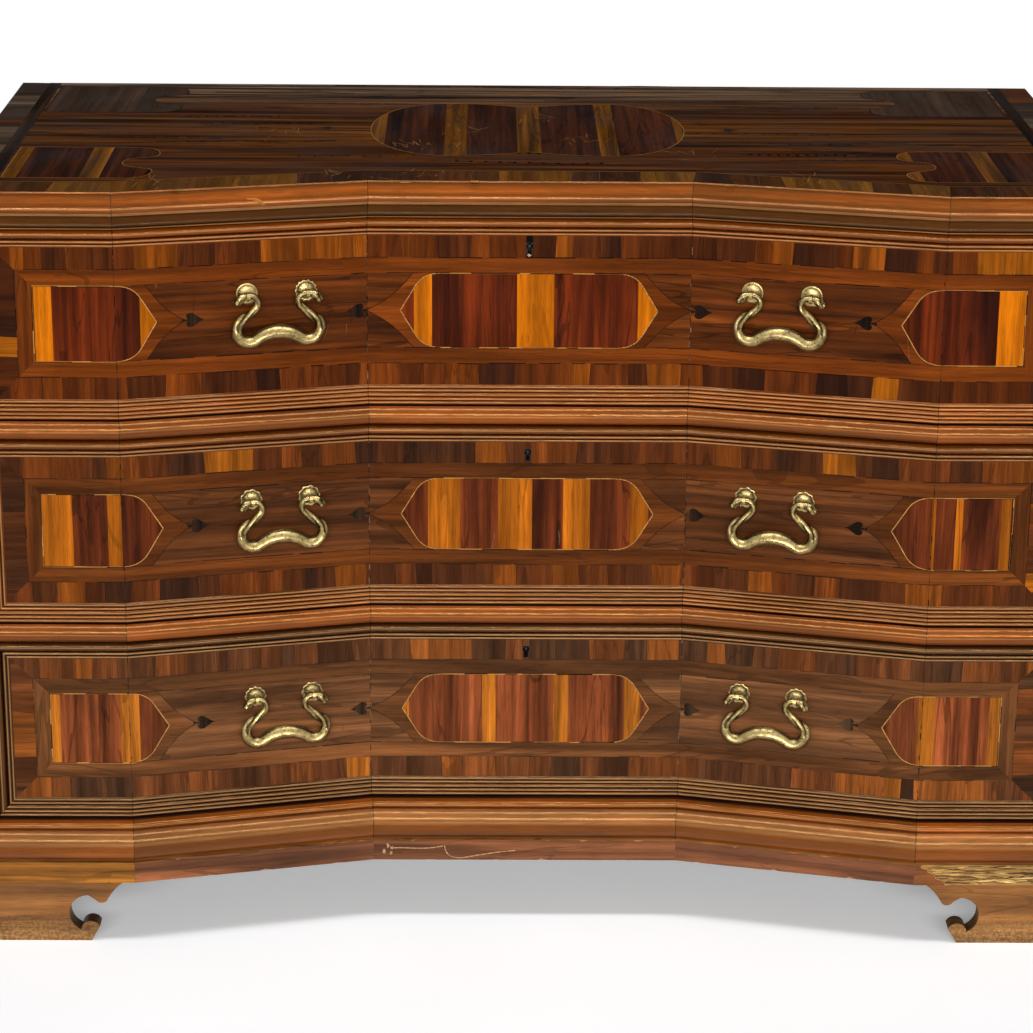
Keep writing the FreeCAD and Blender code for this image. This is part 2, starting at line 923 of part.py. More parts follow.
def bail_stations():
    """Right half of the bail's body, from its middle to the post's eye: point, heading and radius."""
    pin_start = post_half_spacing - post_width / 2 - eye_side_clearance
    lobe = (bail_lobe_half_spacing, -bail_lobe_drop)
    hook = (pin_start, -bail_hook_radius)
    fall = bail_lobe_drop - bail_crest_drop
    rise_radius = (lobe[0] ** 2 + fall ** 2 - bail_lobe_radius ** 2) / (2 * (bail_lobe_radius + fall))
    crest = (0, -bail_crest_drop - rise_radius)
    crest_end = math.atan2(lobe[1] - crest[1], lobe[0] - crest[0])
    gap = (hook[0] - lobe[0], hook[1] - lobe[1])
    distance = math.hypot(*gap)
    lean = math.acos((bail_lobe_radius + bail_hook_radius) / distance)
    neck = math.atan2(gap[1], gap[0]) - lean
    stations = tapered(
        turn(crest, rise_radius, math.pi / 2, crest_end, crest_facets), bail_crest_radius, bail_lobe_body_radius
    )
    stations += tapered(
        turn(lobe, bail_lobe_radius, crest_end - math.pi, neck, lobe_facets),
        bail_lobe_body_radius,
        bail_neck_radius,
    )[1:]
    stations += tapered(
        turn(hook, bail_hook_radius, neck + math.pi, math.pi / 2, hook_facets),
        bail_neck_radius,
        bail_hook_body_radius,
    )
    return stations


def head_stations():
    """Right serpent head, from the post's eye to the snout: point, heading and radius."""
    radii = (bail_hook_body_radius, bail_head_radius * nape_share, bail_head_radius)
    start = (post_half_spacing + post_width / 2 + eye_side_clearance, -bail_head_turn_radius)
    line = turn(start, bail_head_turn_radius, math.pi / 2, math.pi / 2 - bail_head_turn, len(radii) - 1)
    stations = [(*station, radius) for station, radius in zip(line, radii)]
    (x, z), heading = line[-1]
    snout = (x + bail_head_length * math.cos(heading), z + bail_head_length * math.sin(heading))
    return stations + [(snout, heading, bail_snout_radius)]


def cast_body(stations):
    """Many-sided body around a line in the bail's plane."""
    rings = []
    for (x, z), heading, radius in stations:
        centre = Vector(x, -pivot_standoff, z)
        normal = Vector(-math.sin(heading), 0, math.cos(heading))
        rings.append([centre + rearward * y + normal * rise for y, rise in regular_polygon(radius, bail_sides)])
    return faceted(rings)


def bail():
    """One cast bail: body, two round pivot pins in the eyes and two serpent heads."""
    right = bail_stations()
    left = [((-x, z), -heading, radius) for (x, z), heading, radius in reversed(right[1:])]
    head = cast_body(head_stations())
    start = right[-1][0][0]
    length = head_stations()[0][0][0] - start
    pin = Part.makeCylinder(pivot_pin_radius, length, Vector(start, -pivot_standoff, 0), rightward)
    return cast_body(left + right).multiFuse(mirrored_pair(head) + mirrored_pair(pin)).Solids[0]


def drawer_nodes(number, name):
    """Every piece of one drawer, by node name."""
    side = drawer_side(number)
    return {
        name + "_front": drawer_front(number),
        name + "_side_right": side,
        name + "_side_left": mirrored_pair(side)[1],
        name + "_back": drawer_back(number),
        name + "_bottom": drawer_bottom(number),
        name + "_mouldings": drawer_mouldings(number),
        name + "_lock_case": lock_case(number),
        name + "_lock_bolt": lock_bolt(number),
        name + "_rosettes": group(on_drawer(at_posts(rosette()), number)),
        name + "_posts": group(on_drawer(at_posts(eye_post()), number)),
        name + "_post_nuts": group(on_drawer(at_posts(post_nut()), number)),
        name + "_bail_left": placed(bail(), handle_place(-1, number)),
        name + "_bail_right": placed(bail(), handle_place(1, number)),
    }


def carcass_nodes():
    """Every piece of the carcass, by node name."""
    side_right, side_left = mirrored_pair(side_panel())
    front_right, front_left = mirrored_pair(front_foot())
    rear_right, rear_left = mirrored_pair(rear_foot())
    return {
        "top_panel": top_panel(),
        "top_edge_moulding": top_edge_moulding(),
        "cove_moulding": cove_moulding(),
        "side_panel_left": side_left,
        "side_panel_right": side_right,
        "back_boards": back_boards(),
        "bottom_board": bottom_board(),
        "top_rail": top_rail(),
        "upper_drawer_rail": drawer_rail(drawer_numbers[1]),
        "lower_drawer_rail": drawer_rail(drawer_numbers[0]),
        "rail_facings": rail_facings(),
        "drawer_runners": drawer_runners(),
        "top_kickers": top_kickers(),
        "drawer_stops": drawer_stops(),
        "plinth_frame": plinth_frame(),
        "base_moulding": base_moulding(),
        "front_foot_left": front_left,
        "front_foot_right": front_right,
        "rear_foot_left": rear_left,
        "rear_foot_right": rear_right,
        "foot_glue_blocks": foot_glue_blocks(),
    }


def main():
    os.makedirs("parts", exist_ok=True)
    nodes = carcass_nodes()
    for number, name in zip(drawer_numbers, ("lower_drawer", "middle_drawer", "upper_drawer")):
        nodes.update(drawer_nodes(number, name))
    for name, shape in nodes.items():
        shape.exportStep("parts/" + name + ".step")


main()
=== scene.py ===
import math
import random
import bpy
from mathutils import Matrix, Vector


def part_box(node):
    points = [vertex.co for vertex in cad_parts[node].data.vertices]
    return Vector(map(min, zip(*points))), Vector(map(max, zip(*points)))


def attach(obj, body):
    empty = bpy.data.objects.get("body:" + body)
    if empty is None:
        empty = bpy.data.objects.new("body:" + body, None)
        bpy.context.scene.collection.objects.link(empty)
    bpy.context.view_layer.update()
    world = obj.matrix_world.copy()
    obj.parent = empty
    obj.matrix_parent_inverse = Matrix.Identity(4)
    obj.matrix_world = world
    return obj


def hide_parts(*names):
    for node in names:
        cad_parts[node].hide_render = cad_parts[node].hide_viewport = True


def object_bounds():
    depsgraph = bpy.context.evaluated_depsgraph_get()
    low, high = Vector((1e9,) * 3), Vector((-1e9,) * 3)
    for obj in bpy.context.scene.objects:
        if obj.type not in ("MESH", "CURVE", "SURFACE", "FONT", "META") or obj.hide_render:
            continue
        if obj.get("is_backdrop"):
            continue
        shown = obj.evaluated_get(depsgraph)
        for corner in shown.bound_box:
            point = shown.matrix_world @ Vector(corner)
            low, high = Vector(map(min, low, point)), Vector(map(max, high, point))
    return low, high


# Looks of a chest of three drawers with a broken, concave front, in metres.
# X runs from left to right, Y from front to back and Z up.

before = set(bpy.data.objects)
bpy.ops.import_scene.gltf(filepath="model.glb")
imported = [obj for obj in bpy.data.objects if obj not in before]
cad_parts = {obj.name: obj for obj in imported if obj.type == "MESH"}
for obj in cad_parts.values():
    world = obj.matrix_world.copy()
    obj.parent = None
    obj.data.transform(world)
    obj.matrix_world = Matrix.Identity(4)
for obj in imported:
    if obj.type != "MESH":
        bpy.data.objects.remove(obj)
packed_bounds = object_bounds()

# Camera of the photograph
photo_side = 1033
focal_pixels = 3070.9
sensor_width = 36.0
camera_place = Vector((-0.0519, -3.7349, 1.7261))
camera_pitch = math.radians(18.957)
camera_yaw = math.radians(0.637)
camera_roll = math.radians(-0.4555)
clip_range = (0.05, 60.0)

# Plan of the front, as half widths from the middle
outer_break = 0.480
inner_break = 0.191
recess = 0.0687
panel_half_width = 0.621
drawer_half_width = 0.6425
rail_half_width = 0.6435
wrap_half_width = 0.650

# Places that the frame gives
drawers = ("upper_drawer", "middle_drawer", "lower_drawer")
panel_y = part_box("upper_drawer_front")[0].y
case_back_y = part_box("side_panel_left")[1].y
top_back_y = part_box("top_panel")[1].y
top_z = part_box("top_panel")[1].z
cove_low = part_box("cove_moulding")[0].z
case_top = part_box("cove_moulding")[1].z
base_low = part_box("base_moulding")[0].z
case_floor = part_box("base_moulding")[1].z
plinth_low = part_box("plinth_frame")[0].z

# Mouldings, as distances in front of the drawer panels
case_projection = 0.0125
top_core_projection = 0.008
top_projection = 0.026
cove_projection = 0.022
rail_projection = 0.008
torus_projection = 0.017
base_projection = 0.034
plinth_projection = 0.029
frame_width = 0.0215
frame_base_width = 0.023
frame_proud = 0.008
mitre_joint = 0.00012
mitre_line = 0.0005
mitre_line_shares = (0.3, 1.0)
mitre_dark_shares = (0.4, 1.6)
arc_step = math.radians(7.0)
crease_angle = math.radians(35.0)

# Profiles, as shares of a moulding's depth and height. A third share is the rise of an arc
top_lip_share = 0.60
top_round_share = 0.65
top_edge_shares = (
    (0.0, 0.0), (0.84, 0.0), (0.95, 0.36, -0.09), (top_round_share, 0.91, -0.02), (top_lip_share, 1.0, -0.02),
    (0.0, 1.0),
)
cove_shares = (
    (0.0, 0.0), (0.42, 0.0), (0.42, 0.10, -0.05), (0.34, 0.14), (0.90, 0.82, 0.16), (1.0, 0.84), (1.0, 1.0),
    (0.0, 1.0),
)
facing_shares = ((0.0, 0.0), (0.12, 0.0), (0.12, 1.0, -0.88), (0.0, 1.0))
base_crest_share = 0.52
base_torus_share = 0.80
base_shares = (
    (0.0, 0.0), (0.55, 0.0), (1.0, base_crest_share, -0.12), (0.28, base_torus_share, -0.20), (0.32, 0.81),
    (0.32, 0.99, -0.18), (0.0, 1.0),
)

# Profiles of a drawer's frame, from the panel outwards: two reeds and a bead, or five stepped reeds
frame_shares = (
    (0.0, 0.0), (0.0, 0.14), (0.02, 0.20), (0.20, 0.20, 0.17), (0.22, 0.22), (0.42, 0.24, 0.19), (0.46, 0.16),
    (0.52, 0.42), (0.985, 0.40, 0.56), (1.0, 0.36), (1.0, 0.0),
)
frame_base_shares = (
    (0.0, 0.0), (0.0, 0.14), (0.02, 0.18), (0.20, 0.18, 0.17), (0.22, 0.22), (0.40, 0.22, 0.18), (0.43, 0.38),
    (0.63, 0.38, 0.18), (0.66, 0.60), (0.81, 0.60, 0.15), (0.83, 0.84), (0.985, 0.84, 0.15), (1.0, 0.80),
    (1.0, 0.0),
)

# Wear on the mouldings, with painted highlights on ridges and crests and painted shade in hollows
ridge_from_share = 0.22
crest_share = 0.46
soft_ridge_share = 0.28
base_dust_and_highlight_share = 0.15
hollow_gain_share = 1.6
hollow_loss_share = 0.95
cap_dark_share = 0.3
rub_highlight_reach = 0.0012
dirt_and_shade_reach = 0.0016

# Inlay on a drawer front, as distances in from the panel's edges and from the middle
crossband_width = 0.0265
plain_band_width = 0.0192
block_width = (0.015, 0.046)
block_slant = 0.0022
joint = 0.00012
veneer_level = 0.0004
border_level = 0.0005
inlay_level = 0.0006
string_level = 0.00075
string_width = 0.0011
line_width = 0.0007
filler_width = 0.0010
filler_length = (0.0006, 0.009)
filler_gap = 0.030
dirt_width = 0.0008
dirt_length = (0.010, 0.060)
dirt_gap = 0.030
worn_width_shares = (0.5, 1.5)
worn_dark_shares = (0.25, 0.9)
front_scratch_count = 6
front_scratch_length = (0.004, 0.026)
front_scratch_lean = 0.12
front_scratch_width_shares = (0.3, 0.7)
front_scratch_dark_shares = (0.3, 0.8)
worn_keyhole = "upper_drawer"
keyhole_half_width = 0.0041
keyhole_top = 0.0085
keyhole_low = 0.0235
keyhole_chip = (0.0040, 0.0022)
chip_corners = 7
chip_reach_shares = (0.4, 1.0)
cartouche_shoulder = 0.104
cartouche_tip = 0.152
half_cartouche_shoulder = 0.481
half_cartouche_tip = 0.4335
spade_length = 0.026
spade_width = 0.017
outer_spade = 0.392
inner_spade = 0.2035

# Curves of the inlay, as shares of their run and fall
shoulder_shares = ((0.32, 0.0), (0.52, 0.13), (0.64, 0.36))
shoulder_tip_shares = (0.3, 0.75)
spade_tip_shares = ((0.5, 0.0), (0.2, 0.1), (0.1, 0.5), (-0.12, 0.5))
spade_lobe_shares = ((-0.12, 0.5), (-0.36, 0.5), (-0.34, 0.12), (-0.2, 0.05))
spade_stem_shares = (-0.5, 0.1)
bracket_start_share = 0.30
bracket_bend_shares = (0.22, 0.16)
bracket_lead_share = 0.8
bracket_end_share = 0.22
bracket_foot_share = 1.1

# Gold stripes in the cartouches, from left to right, for each drawer
centre_stripes = {
    "upper_drawer": ((-0.1360, -0.1146), (-0.0142, 0.0295), (0.1287, 0.1523)),
    "middle_drawer": ((-0.1198, -0.0811), (-0.0353, 0.0058), (0.0432, 0.0758), (0.1242, 0.1459)),
    "lower_drawer": ((-0.1510, -0.1440), (-0.0536, -0.0363), (0.0340, 0.0525), (0.1217, 0.1415)),
}
left_stripes = {
    "upper_drawer": ((-0.5735, -0.5530), (-0.4521, -0.4335)),
    "middle_drawer": ((-0.5744, -0.5389), (-0.4975, -0.4810)),
    "lower_drawer": ((-0.5744, -0.5635), (-0.4909, -0.4682)),
}
right_stripes = {
    "upper_drawer": ((0.5438, 0.5763),),
    "middle_drawer": ((0.4790, 0.4835), (0.5076, 0.5159), (0.5611, 0.5730)),
    "lower_drawer": ((0.4754, 0.4959), (0.5616, 0.5738)),
}

# Inlay on the top
top_band_width = 0.0510
top_block_width = (0.026, 0.070)
stripe_inner = 0.617
stripe_outer = 0.633
top_cartouche_middle = 0.046
top_cartouche_half_length = 0.195
top_cartouche_lobe = 0.098
top_cartouche_half_depth = 0.157
top_cartouche_cusp = 0.135
top_cusp_shares = (0.25, 0.45)
top_end_shares = (1.6, 0.55)
top_stripes = ((-0.1934, -0.1760), (-0.1027, -0.0754), (-0.0132, 0.0155), (0.0866, 0.1090), (0.1827, 0.1927))
top_field_edges = (-0.33, -0.150, -0.055, 0.052, 0.118, 0.170, 0.205, 0.235, 0.262, 0.29, 0.31, 0.34)
corner_cartouche_outer = 0.613
corner_cartouche_shoulder = 0.480
corner_cartouche_tip = 0.442
corner_cartouche_waist = 0.482
corner_cartouche_front = -0.243
corner_cartouche_back = -0.076
corner_bulge_share = 0.55
corner_lead_share = 0.4
corner_trail_share = 0.3
corner_stripe_shares = ((0.0, 0.10), (0.52, 0.66))
corner_mirror_y = 0.030
top_spade_place = 0.252
# Where the painted grey sheen of the top begins, towards the back
top_sheen_from = 0.14
streak_count = 34
streak_steps = 12
streak_length = (0.12, 0.45)
streak_width = (0.0008, 0.006)
streak_kept_share = 0.6
streak_drift_share = 0.05
scratched_places = (
    (-0.143, -0.055), (-0.130, -0.045), (-0.212, -0.223), (-0.123, -0.221), (-0.072, 0.023), (0.017, 0.105),
    (0.06, -0.02), (0.20, -0.10), (-0.30, 0.02), (0.33, -0.23), (-0.42, -0.27),
)
scratch_count = 9
scratch_spread = 0.016
scratch_length = (0.006, 0.028)
scratch_width = 0.0006
scratch_lean = 0.5
scratch_light_shares = (0.5, 1.6)
chipped_places = ((-0.405, -0.304), (-0.065, -0.250), (-0.145, -0.257), (0.23, -0.266), (0.52, -0.322))
edge_chip = (0.009, 0.003)

# Inlay on the sides
side_crossband_width = 0.053
side_string_inset = 0.0576

# Facing of the plinth
chip_spacing = (0.015, 0.090)
chip_width = (0.003, 0.016)
chip_depth = (0.0006, 0.0024)
chip_low_share = 0.4
lost_shares = (0.03, 0.20)
plinth_level = 0.0006
tear_steps = 9
tear_depth = 0.004
tear_width = 0.0012
splinter_count = 420
splinter_length = (0.006, 0.045)
splinter_thickness = (0.0008, 0.0034)
splinter_low_shares = (0.2, 0.5)
splinter_high_shares = (0.4, 0.8)
track_width = 0.0013
worm_tracks = (
    ((-0.164, 0.0950), (-0.145, 0.0965), (-0.125, 0.0920), (-0.102, 0.0978)),
    ((-0.0995, 0.0987), (-0.0985, 0.0850), (-0.0900, 0.0800), (-0.0753, 0.0823)),
    ((-0.0753, 0.0823), (-0.060, 0.0850), (-0.035, 0.0905), (-0.012, 0.0920)),
)
scar_places = ((-0.175, 0.0905), (-0.170, 0.0985), (-0.165, 0.0950), (-0.166, 0.0886))
scar_reach = (0.0026, 0.0044)

# Flake lost from the edge of the top, left of the middle: left and right ends at each height
flake_rows = (
    (-0.3265, -0.3160, 0.9252), (-0.3255, -0.3125, 0.9240), (-0.3180, -0.3100, 0.9228),
    (-0.3145, -0.3080, 0.9206), (-0.3115, -0.3060, 0.9184), (-0.3085, -0.3045, 0.9165),
)

# Feet
foot_wear_height = 0.040

# Bails
handle_half_spacing = 0.296
post_half_spacing = 0.035
eye_half_width = 0.0024
pin_radius = 0.0019
crest_drop = 0.045
lobe_half_spacing = 0.0349
lobe_drop = 0.0418
lobe_radius = 0.0145
hook_radius = 0.0090
crest_steps = 10
lobe_steps = 22
neck_steps = 14
hook_steps = 16
head_steps = 8
crest_body = 0.0092
lobe_body = 0.0080
neck_body = 0.0063
throat_body = 0.0045
hook_body = 0.0032
head_turn_radius = 0.009
head_turn = math.radians(48.0)
head_length = 0.010
head_body = 0.0058
head_shares = ((0.25, 1.0), (0.40, 0.78), (0.52, 0.90), (0.72, 0.96), (0.88, 0.76), (1.0, 0.40))
bail_sides = 32
section_power = 1.45
groove_depth_share = 0.40
groove_reach_share = 0.55
groove_end_share = 0.3
groove_count = 3
groove_pitch = 0.030
groove_angle = math.radians(68.0)
groove_half_angle = math.radians(16.0)
back_dark_share = 0.45
hollow_dark_share = 0.85
groove_dark_share = 0.9
darkest_share = 0.9

# Rosettes, as shares of their radius and crown from the rim to the middle
rosette_radius = 0.0134
rosette_crown = 0.0030
rosette_sectors = 60
rosette_shares = (
    (1.0, 0.0), (1.0, 0.36), (0.96, 0.48), (0.88, 0.52), (0.78, 0.44), (0.68, 0.46), (0.48, 0.70), (0.2, 0.92),
)
rosette_reach_share = 0.95
rosette_ring_shares = (0.6, 0.8)
ring_dip_share = 0.25
ring_dark_share = 0.5
rosette_light_share = 1.05
scallop_share = 0.05
scallop_light_share = 0.15
rosette_scallops = {
    "upper_drawer": (0, 14, 0, 0), "middle_drawer": (9, 9, 9, 9), "lower_drawer": (12, 10, 10, 12),
}

# Noise in the woods: scale along, across and through the grain, detail and distortion
swirl_noise = ((1.8, 26.0, 1.0), 5.0, 1.0)
streak_noise = ((3.0, 130.0, 1.0), 3.0, 0.3)
vein_noise = ((1.6, 16.0, 1.0), 3.0, 1.6)
pore_noise = ((40.0, 1400.0, 1.0), 2.0)
patch_noise = ((9.0, 9.0, 1.0), 3.0)
swell_noise = ((28.0, 28.0, 1.0), 2.0)

# Ranges of that noise, and the shares of tone, polish and depth that they give
even_range = (0.3, 0.7)
swirl_range = (0.32, 0.68)
vein_band = (0.5, 0.010)
pore_range = (0.36, 0.52)
streak_share = 0.7
pore_shares = (0.70, 1.0)
mottle_shares = (0.80, 1.18)
polish_shares = (0.8, 1.35)
pore_strength = 0.25
pore_depth = 0.0004
wave_depth = 0.0015
grain_shift = 9
grain_layers = 99
veneer_shades = (0.90, 1.10)
moulding_shades = (0.90, 1.12)

# Noise over whole objects as scale and detail, with its ranges and what they give
drift_noise = (6.0, 4.0)
speckle_noise = (260.0, 3.0)
speckle_range = (0.42, 0.58)
# A foot's face darkens as it turns level, facing up or down
level_face_range = (0.05, 0.45)
level_face_shares = (1.0, 0.30)
tarnish_noise = (160.0, 5.0)
tarnish_range = (0.3, 0.65)
tarnish_shares = (0.50, 1.20)
brass_roughness = (0.42, 0.26)
pit_noise = (420.0, 2.0)
pit_range = (0.34, 0.42)
pit_shares = (0.30, 1.0)
cast_noise = (900.0, 2.0)
cast_strength = 0.25
cast_depth = 0.0003
metal_noise = (120.0, 5.0)
metal_shares = (0.6, 1.3)
metal_rough_share = 1.2
metal_strength = 0.3
metal_depth = 0.0004

# Lights and floor
floor_half_size = 4.5
floor_glow = 0.26
floor_colour = (0.90, 0.91, 0.92)
floor_noise = (3.0, 4.0)
floor_shares = (0.97, 1.0)
key_size = (5.0, 0.30)
key_place = Vector((0.0, -4.3, 1.75))
key_spread = math.radians(100.0)
key_power = 52.0
top_light_size = (3.4, 0.35)
top_light_place = Vector((0.0, -0.6, 3.2))
top_light_spread = math.radians(100.0)
top_light_power = 19.0
world_strength = 0.11
white = (1.0, 1.0, 1.0, 1.0)

chance_seed = 558
dice = random.Random(chance_seed)


# Tones

def tone_of(code, figured=1.0):
    """Linear colour of a hexadecimal display colour, and how strongly the wood is figured."""
    parts = [int(code[index:index + 2], 16) / 255 for index in (0, 2, 4)]
    linear = [((part + 0.055) / 1.055) ** 2.4 if part > 0.04 else part / 12.92 for part in parts]
    return Vector(linear + [figured])


def tones_of(codes, figured=1.0):
    return [tone_of(code, figured) for code in codes.split()]


def drawer_tones(*rows):
    """Tone for each drawer, from the upper to the lower, from its code and figure."""
    return {drawer: tone_of(*row) for drawer, row in zip(drawers, rows)}


walnut = drawer_tones(("5e2d0c", 0.9), ("5a2f12", 0.8), ("704324", 0.7))
plum = drawer_tones(("5e2208", 0.9), ("62260a", 0.9), ("6e2c0c", 0.9))
gold = drawer_tones(("ca6c06", 0.5), ("b05e08", 0.6), ("b4640a", 0.7))
brown = drawer_tones(("76370a", 0.6), ("602e09", 0.6), ("603414", 0.6))
reed_brown = drawer_tones(("88400b", 0.6), ("6e350b", 0.6), ("4e2c12", 0.6))
side_walnut = tone_of("572a0d")
ebony = tone_of("22140b")
string = tone_of("c88f4c", 0.2)
dull_string = string * 0.5
filler = tone_of("9c8468", 0.2)
pale_filler = filler * 2.0
# Near-black painted shade of the slot that runs from the upper drawer's keyhole to its edge
keyhole_slot_shade = tone_of("0c0806", 0.3)
orange = tone_of("7e3908", 0.7)
# Pale tone of rubbed ridges and crests, which is also their painted highlight
rub_highlight_tone = tone_of("eaae74", 0.4)
cove_brown = tone_of("62360b", 0.6)
base_orange = tone_of("7e3c06", 0.7)
top_brown = tone_of("3e1f08")
top_light_brown = tone_of("48270a")
# Grey painted into the top as a sheen of reflected light
top_sheen_grey = tone_of("5a4838")
top_plum = tone_of("2f1407")
top_gold = tone_of("583309", 0.8)
top_string = tone_of("8a6234", 0.3)
top_shade = tone_of("33241a", 0.5)
# The grey blocks in the side borders of the top carry the painted sheen too
top_side_tones = (top_shade, top_brown, top_sheen_grey * 0.7)
streak_tones = (ebony, top_plum, top_brown, top_gold * 0.7)
front_corner_tones = (top_plum, top_gold, top_string)
back_corner_tones = (top_shade, top_shade * 1.2, ebony)
crossband_tones = tones_of("3a1a09 4c2209 5e2a09 70340a 88440b a65a0c", 0.6)
crossband_weights = (4, 6, 6, 5, 3, 1)
top_band_tones = tones_of("2e180b 42240b 3a1e0b 58360c 4c2c0b", 0.5)
plinth_tones = tones_of("a4661e 8a5230 8a5230 865030 96582a")
bare_wood = tone_of("a87a44")
torn_tones = tones_of("a87c40 c89c58 8a6234 e4bc74 6a4a26 402a14")
torn_weights = (5, 5, 4, 2, 3, 2)
brass = tone_of("aa9462", 0.0)
iron = tone_of("3c3a36")
pale_scar = tone_of("cea070", 0.3)
flake_gold = tone_of("ac6a22", 0.3)
# Pale haze over the drawer fronts, a painted reflection of the floor, strongest on the lowest drawer
floor_reflection_haze = tone_of("bc8e61")
floor_reflection_shares = dict(zip(drawers, (0.0, 0.025, 0.08)))


# Pieces of the dressing

def grain_seed():
    """A chance place in the figure of the wood."""
    return Vector([dice.uniform(0, reach) for reach in (grain_shift, grain_shift, grain_layers)])


class Pieces:
    """Faces gathered for one object, with their tones and grain, and the surface that they are laid on."""

    def __init__(self, surface=()):
        self.surface = surface
        self.points = []
        self.faces = []
        self.grain = []
        self.tones = []

    def add(self, points, grain, tones, faces=None):
        start = len(self.points)
        self.points += points
        self.grain += grain
        self.tones += tones
        for face in faces or [range(len(points))]:
            self.faces.append([start + index for index in face])

    def lay(self, outline, tone, upright, level, surface=None):
        """One veneer on a surface. Upright grain runs along the outline's second axis."""
        seed = grain_seed()
        shade = tone * dice.uniform(*veneer_shades)
        for low, high, place in surface or self.surface:
            part = between(outline, low, high) if high < math.inf else outline
            if len(part) < 3:
                continue
            flow = swapped(part) if upright else part
            self.add([place(p, level) for p in part], [p.to_3d() + seed for p in flow], [shade] * len(part))

    def line(self, points, width, tone, level):
        """Narrow line of wood, string or dirt."""
        for quad in ribbon(points, width):
            self.lay(quad, tone, False, level)

    def fade(self, share):
        """Takes all tones a share of the way to a pale haze, a painted reflection of the floor."""
        self.tones = [tone.lerp(floor_reflection_haze, share) for tone in self.tones]

    def build(self, name, material, body, replaced=()):
        mesh = bpy.data.meshes.new(name)
        mesh.from_pydata(self.points, [], self.faces)
        grain = mesh.attributes.new("grain", "FLOAT_VECTOR", "POINT")
        grain.data.foreach_set("vector", [value for row in self.grain for value in row])
        tone = mesh.attributes.new("tone", "FLOAT_COLOR", "POINT")
        tone.data.foreach_set("color", [value for row in self.tones for value in row])
        mesh.polygons.foreach_set("use_smooth", [True] * len(mesh.polygons))
        mesh.set_sharp_from_angle(angle=crease_angle)
        mesh.materials.append(material)
        piece = bpy.data.objects.new(name, mesh)
        bpy.context.scene.collection.objects.link(piece)
        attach(piece, body)
        if replaced:
            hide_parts(*replaced)


# Outlines in a plane

def clipped(outline, point, normal):
    """Part of an outline on the side of a line that its normal points to."""
    kept = []
    for index, here in enumerate(outline):
        before = outline[index - 1]
        depth = (here - point).dot(normal)
        depth_before = (before - point).dot(normal)
        if depth * depth_before < 0:
            kept.append(before.lerp(here, depth_before / (depth_before - depth)))
        if depth >= 0:
            kept.append(here)
    return kept


def between(outline, low, high, slant_low=0.0, slant_high=0.0):
    """Part of an outline between two uprights, each of which may lean."""
    middle = sum((point.y for point in outline), 0.0) / max(len(outline), 1)
    part = clipped(outline, Vector((low, middle)), Vector((1.0, slant_low)))
    return clipped(part, Vector((high, middle)), Vector((-1.0, -slant_high))) if part else part


def swapped(points):
    return [Vector((p.y, p.x)) for p in points]


def mirrored(points):
    """Points on the other side of the second axis, in reverse."""
    return [Vector((-p.x, p.y)) for p in reversed(points)]


def flipped(points, middle=0.0):
    """Points on the other side of a level line, in reverse."""
    return [Vector((p.x, 2 * middle - p.y)) for p in reversed(points)]


def bezier(a, b, c, d, count=8):
    """Points along a curve, without its first point."""
    shares = [(index + 1) / count for index in range(count)]
    return [
        a * (1 - t) ** 3 + b * (3 * t * (1 - t) ** 2) + c * (3 * t * t * (1 - t)) + d * t ** 3 for t in shares
    ]


def rectangle(left, right, low, high):
    return [Vector((left, low)), Vector((right, low)), Vector((right, high)), Vector((left, high))]


def nested(outer, *widths):
    """Limits of a rectangle and of those inside it, each a width further in."""
    limits = [outer]
    for width in widths:
        left, right, low, high = limits[-1]
        limits.append((left + width, right - width, low + width, high - width))
    return limits


def mitred_frame(outer, inner):
    """Bottom, right, top and left boards of a rectangular frame."""
    a = rectangle(*outer)
    b = rectangle(*inner)
    return [[a[index - 1], a[index], b[index], b[index - 1]] for index in (1, 2, 3, 0)]


def shoulder(start, tip):
    """Ogee end of a cartouche: round from its shoulder, then straight to the tip."""
    run, fall = tip - start
    bend = [start + Vector((run * along, fall * down)) for along, down in shoulder_shares]
    knee = bend[-1]
    straight = [knee.lerp(tip, share) for share in shoulder_tip_shares]
    return bezier(start, *bend) + bezier(knee, *straight, tip, 3)


def pointed_end(shoulder_x, tip_x, low, high):
    """Upper shoulder, tip and lower shoulder of a cartouche's end."""
    tip = Vector((tip_x, (low + high) / 2))
    upper = shoulder(Vector((shoulder_x, high)), tip)
    lower = shoulder(Vector((shoulder_x, low)), tip)
    return [Vector((shoulder_x, high))] + upper + lower[-2::-1] + [Vector((shoulder_x, low))]


def spade(place, heading):
    """Spade with its tip along a heading of 1 or -1."""
    def at(along, across):
        return Vector((place.x + heading * spade_length * along, place.y + spade_width * across))

    half = bezier(*[at(*shares) for shares in spade_tip_shares], 6)
    half += bezier(*[at(*shares) for shares in spade_lobe_shares], 5) + [at(*spade_stem_shares)]
    return [at(*spade_tip_shares[0])] + half + flipped(half, place.y)


def chip(place, reach):
    """Small flake lost from an edge."""
    points = []
    for index in range(chip_corners):
        angle = index * math.tau / chip_corners
        spread = dice.uniform(*chip_reach_shares)
        points.append(place + Vector((math.cos(angle) * reach[0], math.sin(angle) * reach[1])) * spread)
    return points


def ribbon(points, width):
    """Narrow quads along a line, a little longer than its stretches so that they overlap."""
    quads = []
    for start, end in zip(points, points[1:]):
        along = (end - start).normalized()
        side = Vector((-along.y, along.x)) * (width / 2)
        reach = along * (width / 3)
        quads.append([start - reach - side, end + reach - side, end + reach + side, start - reach + side])
    return quads


